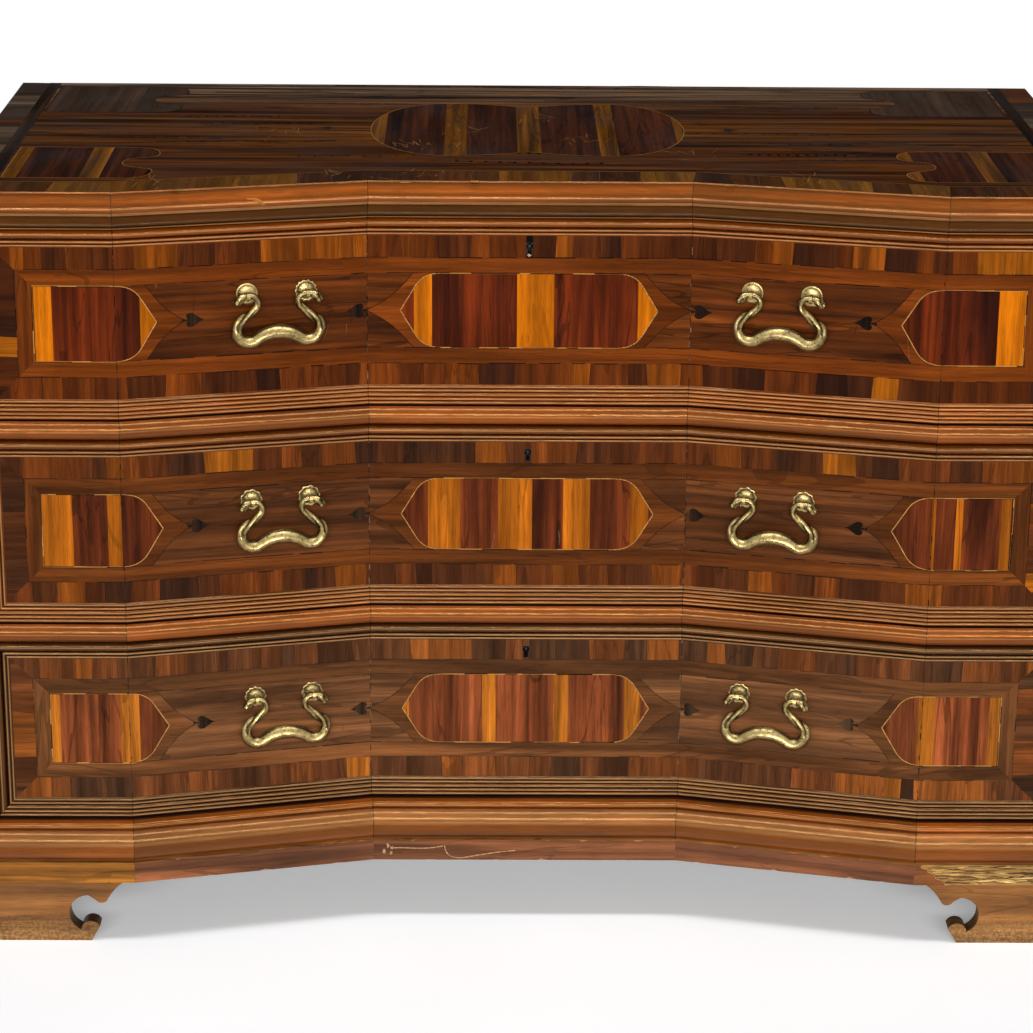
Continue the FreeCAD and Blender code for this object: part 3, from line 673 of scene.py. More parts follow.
def blocks(outline, along, widths):
    """Cuts an outline into blocks of chance width along its first or second axis."""
    turned = swapped(outline) if along else outline
    here = min(p.x for p in turned)
    end = max(p.x for p in turned)
    lean = 0.0
    while here < end:
        width = dice.uniform(*widths)
        after = end if end - here - width < widths[0] else here + width
        next_lean = dice.uniform(-1, 1) * block_slant / crossband_width
        part = between(turned, here + joint, after - joint, lean, next_lean)
        if len(part) > 2:
            yield swapped(part) if along else part
        here, lean = after, next_lean


# Surfaces that carry veneer: each stretch has its limits and a place for a point

def front_stretches():
    breaks = (-drawer_half_width, -outer_break, -inner_break, inner_break, outer_break, drawer_half_width)
    stretches = []
    for low, high in zip(breaks, breaks[1:]):
        ends = [panel_y + (recess if abs(x) <= inner_break else 0.0) for x in (low, high)]
        slope = (ends[1] - ends[0]) / (high - low)
        normal = Vector((slope, -1.0, 0.0)).normalized()

        def place(point, level, low=low, y=ends[0], slope=slope, normal=normal):
            return Vector((point.x, y + (point.x - low) * slope, point.y)) + normal * level

        stretches.append((low + joint, high - joint, place))
    return stretches


def flat_stretch(place):
    return [(-math.inf, math.inf, place)]


def on_top(point, level):
    return Vector((point.x, point.y, top_z + level))


# Marquetry

def crossband(pieces, boards, widths):
    """Blocks of chance tone, upright in every other board."""
    for index, board in enumerate(boards):
        for block in blocks(board, index % 2, widths):
            tone = dice.choices(crossband_tones, crossband_weights)[0]
            pieces.lay(block, tone, index % 2 == 0, veneer_level)


def fill_cartouche(pieces, outline, stripes, dark, light, edge):
    """Dark wood with lighter stripes, grain upright, inside a pale string."""
    here = min(p.x for p in outline)
    end = max(p.x for p in outline)
    for start, stop in list(stripes) + [(end, end)]:
        if start - here > joint:
            pieces.lay(between(outline, here, start - joint), dark, True, inlay_level)
        if stop - start > joint:
            pieces.lay(between(outline, start, min(stop, end)), light, True, inlay_level)
        here = max(here, stop + joint)
    pieces.line(outline + outline[:1], string_width, edge, string_level)


def brackets(pieces, tone, tip_x, spade_x, low, high):
    """Dark spade off a cartouche's tip, and the brown border that runs to it between two ogee lines."""
    middle = (low + high) / 2
    run = spade_x - tip_x
    start = Vector((tip_x - run * bracket_start_share, high - joint))
    along, up = bracket_bend_shares
    bend = Vector((tip_x + run * along, middle + (high - low) * up))
    end = Vector((spade_x - run * bracket_end_share, middle))
    upper = [start] + bezier(start, start.lerp(bend, bracket_lead_share), bend, end, 10)
    lower = flipped(upper, middle)
    foot_x = tip_x - run * bracket_foot_share
    foot = [Vector((foot_x, low + joint)), Vector((foot_x, high - joint))]
    pieces.lay(upper + lower[1:] + foot, tone, False, border_level)
    for line in (upper, lower[::-1]):
        pieces.line(line, line_width, ebony, string_level)
    pieces.lay(spade(Vector((spade_x, middle)), math.copysign(1.0, run)), ebony, True, inlay_level)


def worn_line(pieces, start, end, lengths, gap, width, tone):
    """Broken line of old filler or dirt along a joint."""
    length = (end - start).length
    along = (end - start).normalized()
    across = Vector((-along.y, along.x))
    here = 0.0
    while here < length:
        after = min(here + dice.uniform(*lengths), length)
        shift = across * dice.gauss(0.0, width / 3)
        bit = [start + along * here + shift, start + along * after + shift]
        bit_width = width * dice.uniform(*worn_width_shares)
        pieces.line(bit, bit_width, tone * dice.uniform(*worn_dark_shares), string_level)
        here = after + dice.uniform(0.0, gap)


def scratches(pieces, left, right, low, high):
    """Fine pale scratches and dark cracks, most of them along the upright grain of the cartouches."""
    for tone in (filler, ebony):
        for _ in range(front_scratch_count):
            start = Vector((dice.uniform(left, right), dice.uniform(low, high)))
            angle = dice.gauss(math.pi / 2, front_scratch_lean)
            end = start + Vector((math.cos(angle), math.sin(angle))) * dice.uniform(*front_scratch_length)
            end.y = min(end.y, high)
            bent = [start, start.lerp(end, 0.5) + Vector((line_width, 0.0)), end]
            width = line_width * dice.uniform(*front_scratch_width_shares)
            pieces.line(bent, width, tone * dice.uniform(*front_scratch_dark_shares), string_level)


# Drawer fronts

def panel_limits(drawer):
    low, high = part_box(drawer + "_front")
    return low.z + frame_base_width, high.z - frame_width


def key_border(pieces, drawer, outer, inner):
    """Crossband round a drawer front, parted by the keyhole."""
    high = outer[3]
    boards = mitred_frame(outer, inner)
    left_board = between(boards[2], -panel_half_width, -keyhole_half_width)
    right_board = between(boards[2], keyhole_half_width, panel_half_width)
    crossband(pieces, boards[:2] + [left_board, boards[3], right_board], block_width)
    for bottom, top in ((high - keyhole_top, high), (inner[3], high - keyhole_low)):
        bit = rectangle(-keyhole_half_width, keyhole_half_width, bottom, top)
        # On the worn keyhole the bit above it is painted near-black, the shade of its slot
        tone = keyhole_slot_shade if drawer == worn_keyhole and top == high else crossband_tones[1]
        pieces.lay(bit, tone, True, veneer_level)
    if drawer == worn_keyhole:
        pieces.lay(chip(Vector((0.0, high - keyhole_low)), keyhole_chip), pale_filler, False, string_level)


def front_cartouches(pieces, drawer, right, low, high):
    """Cartouche in the middle of a drawer front and half of one at each end."""
    tones = (plum[drawer], gold[drawer], string)
    centre = pointed_end(cartouche_shoulder, cartouche_tip, low, high)
    fill_cartouche(pieces, centre + mirrored(centre), centre_stripes[drawer], *tones)
    panel_low, panel_high = panel_limits(drawer)
    for side, stripes in ((-1, left_stripes[drawer]), (1, right_stripes[drawer])):
        end = pointed_end(side * half_cartouche_shoulder, side * half_cartouche_tip, low, high)
        outline = end + [Vector((side * (right - joint), low)), Vector((side * (right - joint), high))]
        fill_cartouche(pieces, outline, stripes, *tones)
        for tip, spade_place in ((half_cartouche_tip, outer_spade), (cartouche_tip, inner_spade)):
            brackets(pieces, brown[drawer], side * tip, side * spade_place, low, high)
        for x, tone in ((inner_break, ebony), (inner_break, filler), (outer_break, ebony)):
            ends = [Vector((side * x, z)) for z in (panel_low, panel_high)]
            worn_line(pieces, *ends, filler_length, filler_gap, filler_width, tone)


def drawer_veneer(drawer):
    pieces = Pieces(front_stretches())
    panel = (-panel_half_width, panel_half_width, *panel_limits(drawer))
    edges = nested(panel, crossband_width, plain_band_width)
    key_border(pieces, drawer, edges[0], edges[1])
    for board in mitred_frame(edges[1], edges[2]):
        pieces.lay(board, brown[drawer], board[1].x == board[0].x, veneer_level)
    field = rectangle(*nested(edges[2], joint)[1])
    for stretch in pieces.surface:
        pieces.lay(field, walnut[drawer], False, veneer_level, [stretch])
    front_cartouches(pieces, drawer, *edges[2][1:])
    for limits in edges[1:]:
        corners = rectangle(*limits)
        for start, end in zip(corners, corners[1:] + corners[:1]):
            worn_line(pieces, start, end, dirt_length, dirt_gap, dirt_width, ebony)
    scratches(pieces, *edges[2])
    # Painted reflection of the floor, as a pale haze
    pieces.fade(floor_reflection_shares[drawer])
    pieces.build(drawer + "_veneer", veneer, drawer)


# Mouldings

def arc(start, end, rise):
    """Profile points of an arc, without the first, that rises to the left of its chord."""
    chord = end - start
    half = chord.length / 2
    radius = (half * half + rise * rise) / (2 * abs(rise))
    sweep_angle = 4 * math.atan2(abs(rise), half)
    count = max(3, int(sweep_angle / arc_step))
    normal = Vector((-chord.y, chord.x)).normalized() * math.copysign(1.0, rise)
    centre = (start + end) / 2 - normal * (radius - abs(rise))
    points = []
    for index in range(1, count + 1):
        angle = math.copysign(1.0, -rise) * sweep_angle * (index / count)
        points.append(centre + Matrix.Rotation(angle, 2) @ (start - centre))
    return points


def profile(shares, root, depth, low, height, unit):
    """Profile from shares of a depth and a height, with the rises of its arcs as shares of a unit."""
    points = []
    for out, up, *rises in shares:
        end = Vector((root + depth * out, low + height * up))
        points += arc(points[-1], end, unit * rises[0]) if rises else [end]
    return points


def rub_highlight_and_shade(points):
    """Marks for each profile point: above zero on ridges and crests, paled by rubbing and by a painted
    highlight; below zero in hollows, darkened by dirt and by painted shade.
    """
    places, spots = [], []
    for index, here in enumerate(points):
        before, after = points[max(index - 1, 0)], points[min(index + 1, len(points) - 1)]
        first, second = here - before, after - here
        places.append(places[-1] + first.length if places else 0.0)
        size = max(first.length * second.length, joint * joint)
        bent = (first.x * second.y - first.y * second.x) / size
        if bent > 0:
            crest = crest_share if before.x < here.x >= after.x else 0.0
            spots.append(max(bent - ridge_from_share, crest))
        else:
            spots.append(max(bent * hollow_gain_share, -1.0))
    marks = []
    for here in places:
        pale = max(spot * max(0.0, 1 - abs(place - here) / rub_highlight_reach) for place, spot in zip(places, spots))
        dark = min(spot * max(0.0, 1 - abs(place - here) / dirt_and_shade_reach) for place, spot in zip(places, spots))
        marks.append(max(pale, 0.0) + min(dark, 0.0))
    return marks


def soft_rub_highlight_and_shade(points):
    """Marks of a broad moulding, whose ridges get hardly any rub or painted highlight."""
    return [min(mark, soft_ridge_share) for mark in rub_highlight_and_shade(points)]


def ruled(pieces, lines, tone):
    """Faces between straight lines, with the grain along them and a cap at each end."""
    seed = grain_seed()
    shade = tone * dice.uniform(*moulding_shades)
    points, grain, tones, faces = [], [], [], []
    across = 0.0
    for index, (start, end, mark) in enumerate(lines):
        if index:
            across += (start - lines[index - 1][0]).length
            faces.append([2 * index - 2, 2 * index - 1, 2 * index + 1, 2 * index])
        points += [start, end]
        grain += [seed + Vector((0.0, across, 0.0)), seed + Vector(((end - start).length, across, 0.0))]
        # Above zero a mark takes the tone towards the pale rub and painted highlight; below zero it darkens
        # the tone as dirt and painted shade
        tones += [shade.lerp(rub_highlight_tone, max(mark, 0.0)) * (1 + min(mark, 0.0) * hollow_loss_share)] * 2
    pieces.add(points, grain, tones, faces)
    for side in (0, 1):
        cap = [line[side] for line in lines]
        pieces.add(cap, [seed] * len(cap), [shade * cap_dark_share] * len(cap))


def plan_normals(path):
    normals = [Vector((end.y - start.y, start.x - end.x)).normalized() for start, end in zip(path, path[1:])]
    mitres = [normals[0]]
    for before, after in zip(normals, normals[1:]):
        mitres.append((before + after) / (1 + before.dot(after)))
    return mitres + [normals[-1]]


def sweep(pieces, path, points, tone, marks, end_reach=None):
    """Runs a profile along a plan path, one length for each straight stretch, mitred at the turns."""
    mitres = plan_normals(path)
    last = len(path) - 2
    for index in range(last + 1):
        along = (path[index + 1] - path[index]).normalized()
        lines = []
        for number, point in enumerate(points):
            start = path[index] + mitres[index] * point.x + along * mitre_joint
            end = path[index + 1] + mitres[index + 1] * point.x - along * mitre_joint
            if end_reach and index == 0:
                start = Vector((-end_reach[number], start.y))
            if end_reach and index == last:
                end = Vector((end_reach[number], end.y))
            lines.append((Vector((*start, point.y)), Vector((*end, point.y)), marks[number]))
        ruled(pieces, lines, tone)
    for index in range(1, last + 1):
        mitre_lines(pieces, path[index - 1:index + 2], mitres[index], points)


def mitre_lines(pieces, turn_path, mitre, points):
    """Dark uneven line down a mitre."""
    before, here, after = turn_path
    back = (here - before).normalized() * -mitre_line
    ahead = (after - here).normalized() * mitre_line
    for low, high in zip(points, points[1:]):
        corners = []
        for point, shift in ((low, back), (low, ahead), (high, ahead), (high, back)):
            place = here + mitre * (point.x + border_level) + shift * dice.uniform(*mitre_line_shares)
            corners.append(Vector((*place, point.y)))
        pieces.add(corners, corners, [ebony * dice.uniform(*mitre_dark_shares)] * len(corners))


def broken_path(half_width):
    left = [(-half_width, panel_y), (-outer_break, panel_y), (-inner_break, panel_y + recess)]
    return [Vector(point) for point in left + [(-x, y) for x, y in reversed(left)]]


def wrapped_path(back_y):
    ends = [Vector((x, back_y)) for x in (-wrap_half_width, wrap_half_width)]
    return ends[:1] + broken_path(wrap_half_width) + ends[1:]


def top_edge_profile():
    height = top_z - case_top
    return profile(
        top_edge_shares, top_core_projection, top_projection - top_core_projection, case_top, height, height,
    )


def top_edge():
    pieces = Pieces()
    points = top_edge_profile()
    sweep(pieces, wrapped_path(top_back_y), points, orange, rub_highlight_and_shade(points))
    pieces.build("top_edge_dressed", moulding, "carcass", ["top_edge_moulding"])


def cove():
    height = case_top - cove_low
    points = profile(cove_shares, case_projection, cove_projection - case_projection, cove_low, height, height)
    pieces = Pieces()
    sweep(pieces, wrapped_path(case_back_y), points, cove_brown, soft_rub_highlight_and_shade(points))
    pieces.build("cove_dressed", hollow, "carcass", ["cove_moulding"])


def facings():
    pieces = Pieces()
    depth = torus_projection - rail_projection
    for rail in ("lower_drawer_rail", "upper_drawer_rail"):
        low, high = [corner.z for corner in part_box(rail)]
        points = profile(facing_shares, rail_projection, depth, low, high - low, depth)
        sweep(pieces, broken_path(rail_half_width), points, orange, soft_rub_highlight_and_shade(points))
    pieces.build("facings_dressed", moulding, "carcass", ["rail_facings"])


def base():
    depth = base_projection - case_projection
    height = case_floor - base_low
    points = profile(base_shares, case_projection, depth, base_low, height, depth)
    crest_z = base_low + height * base_crest_share
    torus_top = base_low + height * base_torus_share
    marks = []
    # The upper face of the torus, above its crest, is paler: settled dust and a painted highlight
    for point, mark in zip(points, soft_rub_highlight_and_shade(points)):
        marks.append(max(mark, base_dust_and_highlight_share) if crest_z < point.y < torus_top else mark)
    pieces = Pieces()
    sweep(pieces, wrapped_path(case_back_y), points, base_orange, marks)
    pieces.build("base_dressed", moulding, "carcass", ["base_moulding"])


def drawer_mouldings(drawer):
    """Reeded frame of a drawer front: its upper and lower lengths, then its sides."""
    low, high = panel_limits(drawer)
    side_width = drawer_half_width - panel_half_width
    pieces = Pieces()
    for shares, width, edge, away in (
        (frame_shares, frame_width, high, 1.0), (frame_base_shares, frame_base_width, low, -1.0),
    ):
        points = profile(shares, 0.0, width, 0.0, frame_proud, frame_proud)
        turned = [Vector((p.y, edge + away * p.x)) for p in points]
        reach = [panel_half_width + p.x * side_width / width for p in points]
        marks = rub_highlight_and_shade(swapped(points))
        sweep(pieces, broken_path(drawer_half_width), turned, reed_brown[drawer], marks, reach)
    points = profile(frame_shares, 0.0, side_width, 0.0, frame_proud, frame_proud)
    marks = rub_highlight_and_shade(swapped(points))
    for side in (-1, 1):
        lines = []
        for point, mark in zip(points, marks):
            x = side * (panel_half_width + point.x)
            bottom = low - point.x * frame_base_width / side_width
            top = high + point.x * frame_width / side_width
            lines.append((Vector((x, panel_y - point.y, bottom)), Vector((x, panel_y - point.y, top)), mark))
        ruled(pieces, lines, reed_brown[drawer])
    pieces.build(drawer + "_frame", reeding, drawer, [drawer + "_mouldings"])


# Top, sides and plinth

def broken_edge(projection, half_width):
    path = broken_path(half_width)
    return [point + mitre * projection for point, mitre in zip(path, plan_normals(path))]


def top_veneer():
    pieces = Pieces(flat_stretch(on_top))
    outer_reach = top_core_projection + (top_projection - top_core_projection) * top_lip_share - joint
    half_width = wrap_half_width + outer_reach
    front = broken_edge(outer_reach, half_width)
    inner = broken_edge(outer_reach - top_band_width, half_width)
    for index in range(len(front) - 1):
        board = [front[index], front[index + 1], inner[index + 1], inner[index]]
        for block in blocks(board, 0, top_block_width):
            pieces.lay(block, dice.choice(top_band_tones), True, veneer_level)
    for side in (-1, 1):
        board = rectangle(*sorted((side * stripe_outer, side * half_width)), inner[0].y, top_back_y)
        for block in blocks(board, 1, top_block_width):
            pieces.lay(block, dice.choice(top_side_tones), False, veneer_level)
        stripe = rectangle(*sorted((side * stripe_inner, side * stripe_outer)), inner[0].y, top_back_y)
        pieces.lay(stripe, ebony, True, veneer_level)
    top_field(pieces, inner)
    fill_cartouche(pieces, top_cartouche(), top_stripes, top_plum, top_gold, top_string)
    corner_cartouches(pieces)
    for side in (-1, 1):
        place = Vector((side * top_spade_place, top_cartouche_middle))
        pieces.lay(spade(place, side), ebony, True, inlay_level)
    for _ in range(streak_count):
        streak(pieces)
    for x, y in scratched_places:
        for _ in range(scratch_count):
            start = Vector((dice.gauss(x, scratch_spread), dice.gauss(y, scratch_spread)))
            turned = dice.gauss(math.pi / 2, scratch_lean)
            reach = Vector((math.cos(turned), math.sin(turned))) * dice.uniform(*scratch_length)
            tone = top_string * dice.uniform(*scratch_light_shares)
            pieces.line([start, start + reach], scratch_width, tone, string_level)
    for place in chipped_places:
        pieces.lay(chip(Vector(place), edge_chip), bare_wood, False, string_level)
    pieces.build("top_veneer", top_polish, "carcass")


def top_field(pieces, inner):
    """Long boards inside the bands, turning to a painted grey sheen towards the back."""
    line = [p for p in inner if abs(p.x) < stripe_inner]
    front = [Vector((-stripe_inner, inner[0].y))] + line + [Vector((stripe_inner, inner[-1].y))]
    field = front + [Vector((stripe_inner, top_back_y)), Vector((-stripe_inner, top_back_y))]
    for low, high in zip(top_field_edges, top_field_edges[1:]):
        part = swapped(between(swapped(field), low + joint, high - joint))
        # Painted sheen: boards further back are greyer
        sheen_share = min(1.0, max(0.0, (low - top_sheen_from) / (top_back_y - top_sheen_from)))
        tone = dice.choice((top_brown, top_light_brown)).lerp(top_sheen_grey, sheen_share)
        pieces.lay(part, tone, False, veneer_level)
    pieces.line(front, line_width, dull_string, string_level)


def streak(pieces):
    """Long dark or light streak of figure, wavy along the grain."""
    length = dice.uniform(*streak_length)
    x = dice.uniform(-stripe_inner, stripe_inner - length)
    here = Vector((x, dice.uniform(top_field_edges[1], top_back_y)))
    line = [here]
    drift = 0.0
    for _ in range(streak_steps):
        drift = dice.gauss(drift * streak_kept_share, streak_drift_share)
        here = here + Vector((1.0, drift)) * (length / streak_steps)
        line.append(here)
    tone = dice.choice(streak_tones)
    pieces.line(line, dice.uniform(*streak_width), tone, border_level)


def top_cartouche():
    """Two lobes above and below, with a cusp between them and a round end at each side."""
    cusp = Vector((0.0, top_cartouche_cusp))
    lobe = Vector((top_cartouche_lobe, top_cartouche_half_depth))
    tip = Vector((top_cartouche_half_length, 0.0))
    rise, run = top_cusp_shares
    quarter = [cusp] + bezier(cusp, cusp.lerp(lobe, rise), Vector((lobe.x * run, lobe.y)), lobe)
    run, rise = top_end_shares
    quarter += bezier(lobe, Vector((lobe.x * run, lobe.y)), Vector((tip.x, lobe.y * rise)), tip, 12)
    right = quarter + flipped(quarter[:-1])
    return [Vector((p.x, p.y + top_cartouche_middle)) for p in right + mirrored(right[1:-1])]


def corner_cartouches(pieces):
    """A cartouche in each corner of the top, square outside and wavy towards the middle."""
    middle = (corner_cartouche_front + corner_cartouche_back) / 2
    half = (corner_cartouche_back - corner_cartouche_front) / 2
    start = Vector((corner_cartouche_shoulder, half))
    bulge = Vector((corner_cartouche_tip, half * corner_bulge_share))
    waist = Vector((corner_cartouche_waist, 0.0))
    reach = Vector(((corner_cartouche_waist - corner_cartouche_tip) / 2, 0.0))
    lead = Vector((0.0, half * corner_lead_share))
    trail = Vector((0.0, half * corner_trail_share))
    wave = [start] + bezier(start, start - reach, bulge + lead, bulge)
    wave += bezier(bulge, bulge - trail, waist + lead, waist)
    outer = [Vector((corner_cartouche_outer, -half)), Vector((corner_cartouche_outer, half))]
    shape = wave + flipped(wave[:-1]) + outer
    for side in (-1, 1):
        for centre_y in (middle, 2 * corner_mirror_y - middle):
            outline = [Vector((side * p.x, centre_y + p.y)) for p in shape]
            low, high = sorted((side * corner_cartouche_outer, side * corner_cartouche_tip))
            stripes = [(low + (high - low) * a, low + (high - low) * b) for a, b in corner_stripe_shares]
            tones = front_corner_tones if centre_y < corner_mirror_y else back_corner_tones
            fill_cartouche(pieces, outline, stripes, *tones)


def side_veneer():
    """Crossband, plain band and a plain field on each side of the case."""
    pieces = Pieces()
    for node_name, side in (("side_panel_left", -1), ("side_panel_right", 1)):
        low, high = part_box(node_name)
        face = low.x if side < 0 else high.x

        def place(p, level, face=face, side=side):
            return Vector((face + side * level, p.x, p.y))

        pieces.surface = flat_stretch(place)
        outer = (low.y + case_projection, high.y, case_floor, cove_low)
        edges = nested(outer, side_crossband_width, plain_band_width)
        crossband(pieces, mitred_frame(edges[0], edges[1]), top_block_width)
        for board in mitred_frame(edges[1], edges[2]):
            pieces.lay(board, brown["upper_drawer"], abs(board[1].x - board[0].x) < joint, veneer_level)
        field = rectangle(*nested(edges[2], joint)[1])
        left, right = edges[2][:2]
        half = (left + right) / 2
        for start, stop in ((left, half), (half, right)):
            pieces.lay(between(field, start + joint, stop - joint), side_walnut, True, veneer_level)
        panel = rectangle(*nested(edges[2], side_string_inset)[1])
        pieces.line(panel + panel[:1], string_width, string, string_level)
        strip = rectangle(low.y, low.y + case_projection - joint, case_floor, cove_low)
        pieces.lay(strip, side_walnut, True, veneer_level)
    pieces.build("side_veneer", veneer, "carcass")


def plinth_veneer():
    """Facing of the plinth, chipped along its edges and lost in part at the right-hand end."""
    pieces = Pieces()
    path = broken_edge(plinth_projection, wrap_half_width + plinth_projection)
    for index in range(len(path) - 1):
        start, end = path[index], path[index + 1]
        along = (end - start).normalized()
        out = Vector((along.y, -along.x))

        def place(p, level, start=start, along=along, out=out):
            return Vector((*(start + along * p.x + out * level), p.y))

        pieces.surface = flat_stretch(place)
        length = (end - start).length
        lower = chipped_edge(length, plinth_low, 1.0)
        upper = chipped_edge(length, base_low, -1.0)
        if index == len(path) - 2:
            left, right = [length * share for share in lost_shares]
            foot, head = Vector((right, plinth_low)), Vector((left, base_low))
            torn = [foot.lerp(head, step / tear_steps) for step in range(tear_steps + 1)]
            torn = [p + Vector((dice.uniform(-tear_depth, tear_depth), 0.0)) for p in torn]
            lower = [p for p in lower if p.x < right - tear_depth] + torn
            upper = upper[:1]
            splinters(pieces, left, length)
            pieces.line(torn, tear_width, string, string_level)
        pieces.lay(lower + upper[::-1], plinth_tones[index], False, plinth_level)
    pieces.build("plinth_veneer", fascia, "carcass")


def splinters(pieces, left, right):
    """Torn fibres of bare wood where the facing is lost."""
    for _ in range(splinter_count):
        length = dice.uniform(*splinter_length)
        thick = dice.uniform(*splinter_thickness)
        x = dice.uniform(left, right - length)
        start = Vector((x, dice.uniform(plinth_low + thick, base_low - thick)))
        end = start + Vector((length, dice.uniform(-thick, thick)))
        bulge = Vector((0.0, thick / 2))
        lower = start.lerp(end, dice.uniform(*splinter_low_shares)) - bulge
        upper = start.lerp(end, dice.uniform(*splinter_high_shares)) + bulge
        inside = [Vector((p.x, min(max(p.y, plinth_low), base_low))) for p in (start, lower, end, upper)]
        tone = dice.choices(torn_tones, torn_weights)[0]
        pieces.lay(inside, tone, False, dice.uniform(joint, veneer_level))


def chipped_edge(length, height, inward):
    """Points along an edge with small chance chips."""
    points = [Vector((joint, height))]
    here = dice.uniform(*chip_spacing)
    while here < length - chip_spacing[0]:
        width = dice.uniform(*chip_width)
        depth = inward * dice.uniform(*chip_depth)
        low = Vector((here + width * chip_low_share, height + depth))
        points += [Vector((here, height)), low, Vector((here + width, height))]
        here += width + dice.uniform(*chip_spacing)
    return points + [Vector((length - joint, height))]


def reach_at(points, height):
    """How far a profile reaches at a height."""
    reaches = [0.0]
    for low, high in zip(points, points[1:]):
        if low.y < height <= high.y:
            reaches.append(low.x + (high.x - low.x) * (height - low.y) / (high.y - low.y))
    return max(reaches)


def scars():
    """Pale worm tracks and scars on the middle of the plinth, and a flake lost from the edge of the top."""
    face = panel_y + recess - plinth_projection - plinth_level

    def place(p, level):
        return Vector((p.x, face - level, p.y))

    pieces = Pieces(flat_stretch(place))
    for track in worm_tracks:
        ends = [Vector(point) for point in track]
        pieces.line(ends[:1] + bezier(*ends), track_width, pale_scar, veneer_level)
    for scar_place in scar_places:
        pieces.lay(chip(Vector(scar_place), scar_reach), pale_scar, False, veneer_level)
    points = top_edge_profile()
    slope = recess / (outer_break - inner_break)
    rows = []
    for left, right, z in flake_rows:
        out = (reach_at(points, z) + veneer_level) * math.hypot(1.0, slope)
        rows.append([Vector((x, panel_y + (outer_break + x) * slope - out, z)) for x in (left, right)])
    for upper, lower in zip(rows, rows[1:]):
        quad = upper + lower[::-1]
        pieces.add(quad, quad, [flake_gold] * len(quad))
    pieces.build("scars", fascia, "carcass")


# Bails and rosettes

def flank_axes(side):
    """Directions along and out of the canted flank on one side."""
    alpha = math.atan2(recess, outer_break - inner_break)
    along = Vector((math.cos(alpha), -side * math.sin(alpha), 0.0))
    return along, Vector((-side * math.sin(alpha), -math.cos(alpha), 0.0))


def skin(rings, sides):
    """Faces between rings of points that follow each other."""
    faces = []
    for ring in range(rings - 1):
        row, next_row = ring * sides, (ring + 1) * sides
        for sector in range(sides):
            after = (sector + 1) % sides
            faces.append([row + sector, row + after, next_row + after, next_row + sector])
    return faces


def turn(centre, radius, start, end, count):
    """Points and headings along an arc in the bail's plane."""
    way = math.copysign(math.pi / 2, end - start)
    angles = [start + (end - start) * index / count for index in range(count + 1)]
    return [(centre + Vector((math.cos(a), math.sin(a))) * radius, a + way) for a in angles]


def eased(line, first, last):
    """Stations whose body swells or thins smoothly along a line."""
    steps = len(line) - 1
    shares = [index / steps for index in range(steps + 1)]
    return [(*station, first + (last - first) * (3 * t * t - 2 * t ** 3)) for station, t in zip(line, shares)]


def bail_half():
    """Right half of a bail: point, heading and body radius, from its middle to the snout."""
    lobe = Vector((lobe_half_spacing, -lobe_drop))
    hook = Vector((post_half_spacing - eye_half_width, -hook_radius))
    fall = lobe_drop - crest_drop
    rise = (lobe.x ** 2 + fall ** 2 - lobe_radius ** 2) / (2 * (lobe_radius + fall))
    crest = Vector((0.0, -crest_drop - rise))
    crest_end = math.atan2(lobe.y - crest.y, lobe.x - crest.x)
    gap = hook - lobe
    neck = math.atan2(gap.y, gap.x) - math.acos((lobe_radius + hook_radius) / gap.length)
    lobe_line = turn(lobe, lobe_radius, crest_end - math.pi, neck, lobe_steps)
    hook_line = turn(hook, hook_radius, neck + math.pi, math.pi / 2, hook_steps)
    start, heading = lobe_line[-1]
    neck_line = [(start.lerp(hook_line[0][0], step / neck_steps), heading) for step in range(neck_steps + 1)]
    stations = eased(turn(crest, rise, math.pi / 2, crest_end, crest_steps), crest_body, lobe_body)
    stations += eased(lobe_line, lobe_body, neck_body)[1:]
    stations += eased(neck_line, neck_body, throat_body)[1:-1]
    stations += eased(hook_line, throat_body, hook_body)
    for offset in (-eye_half_width, eye_half_width):
        stations.append((Vector((post_half_spacing + offset, 0.0)), 0.0, pin_radius))
    bend = Vector((post_half_spacing + eye_half_width, -head_turn_radius))
    head = turn(bend, head_turn_radius, math.pi / 2, math.pi / 2 - head_turn, head_steps)
    stations += eased(head, hook_body, head_body)
    place, heading = head[-1]
    ahead = Vector((math.cos(heading), math.sin(heading)))
    for share, body_share in head_shares:
        stations.append((place + ahead * (head_length * share), heading, head_body * body_share))
    return stations


def upper_groove(angle):
    """Dark line chased along the upper edge of the body."""
    return max(0.0, 1.0 - abs(angle - groove_angle) / groove_half_angle) * groove_dark_share


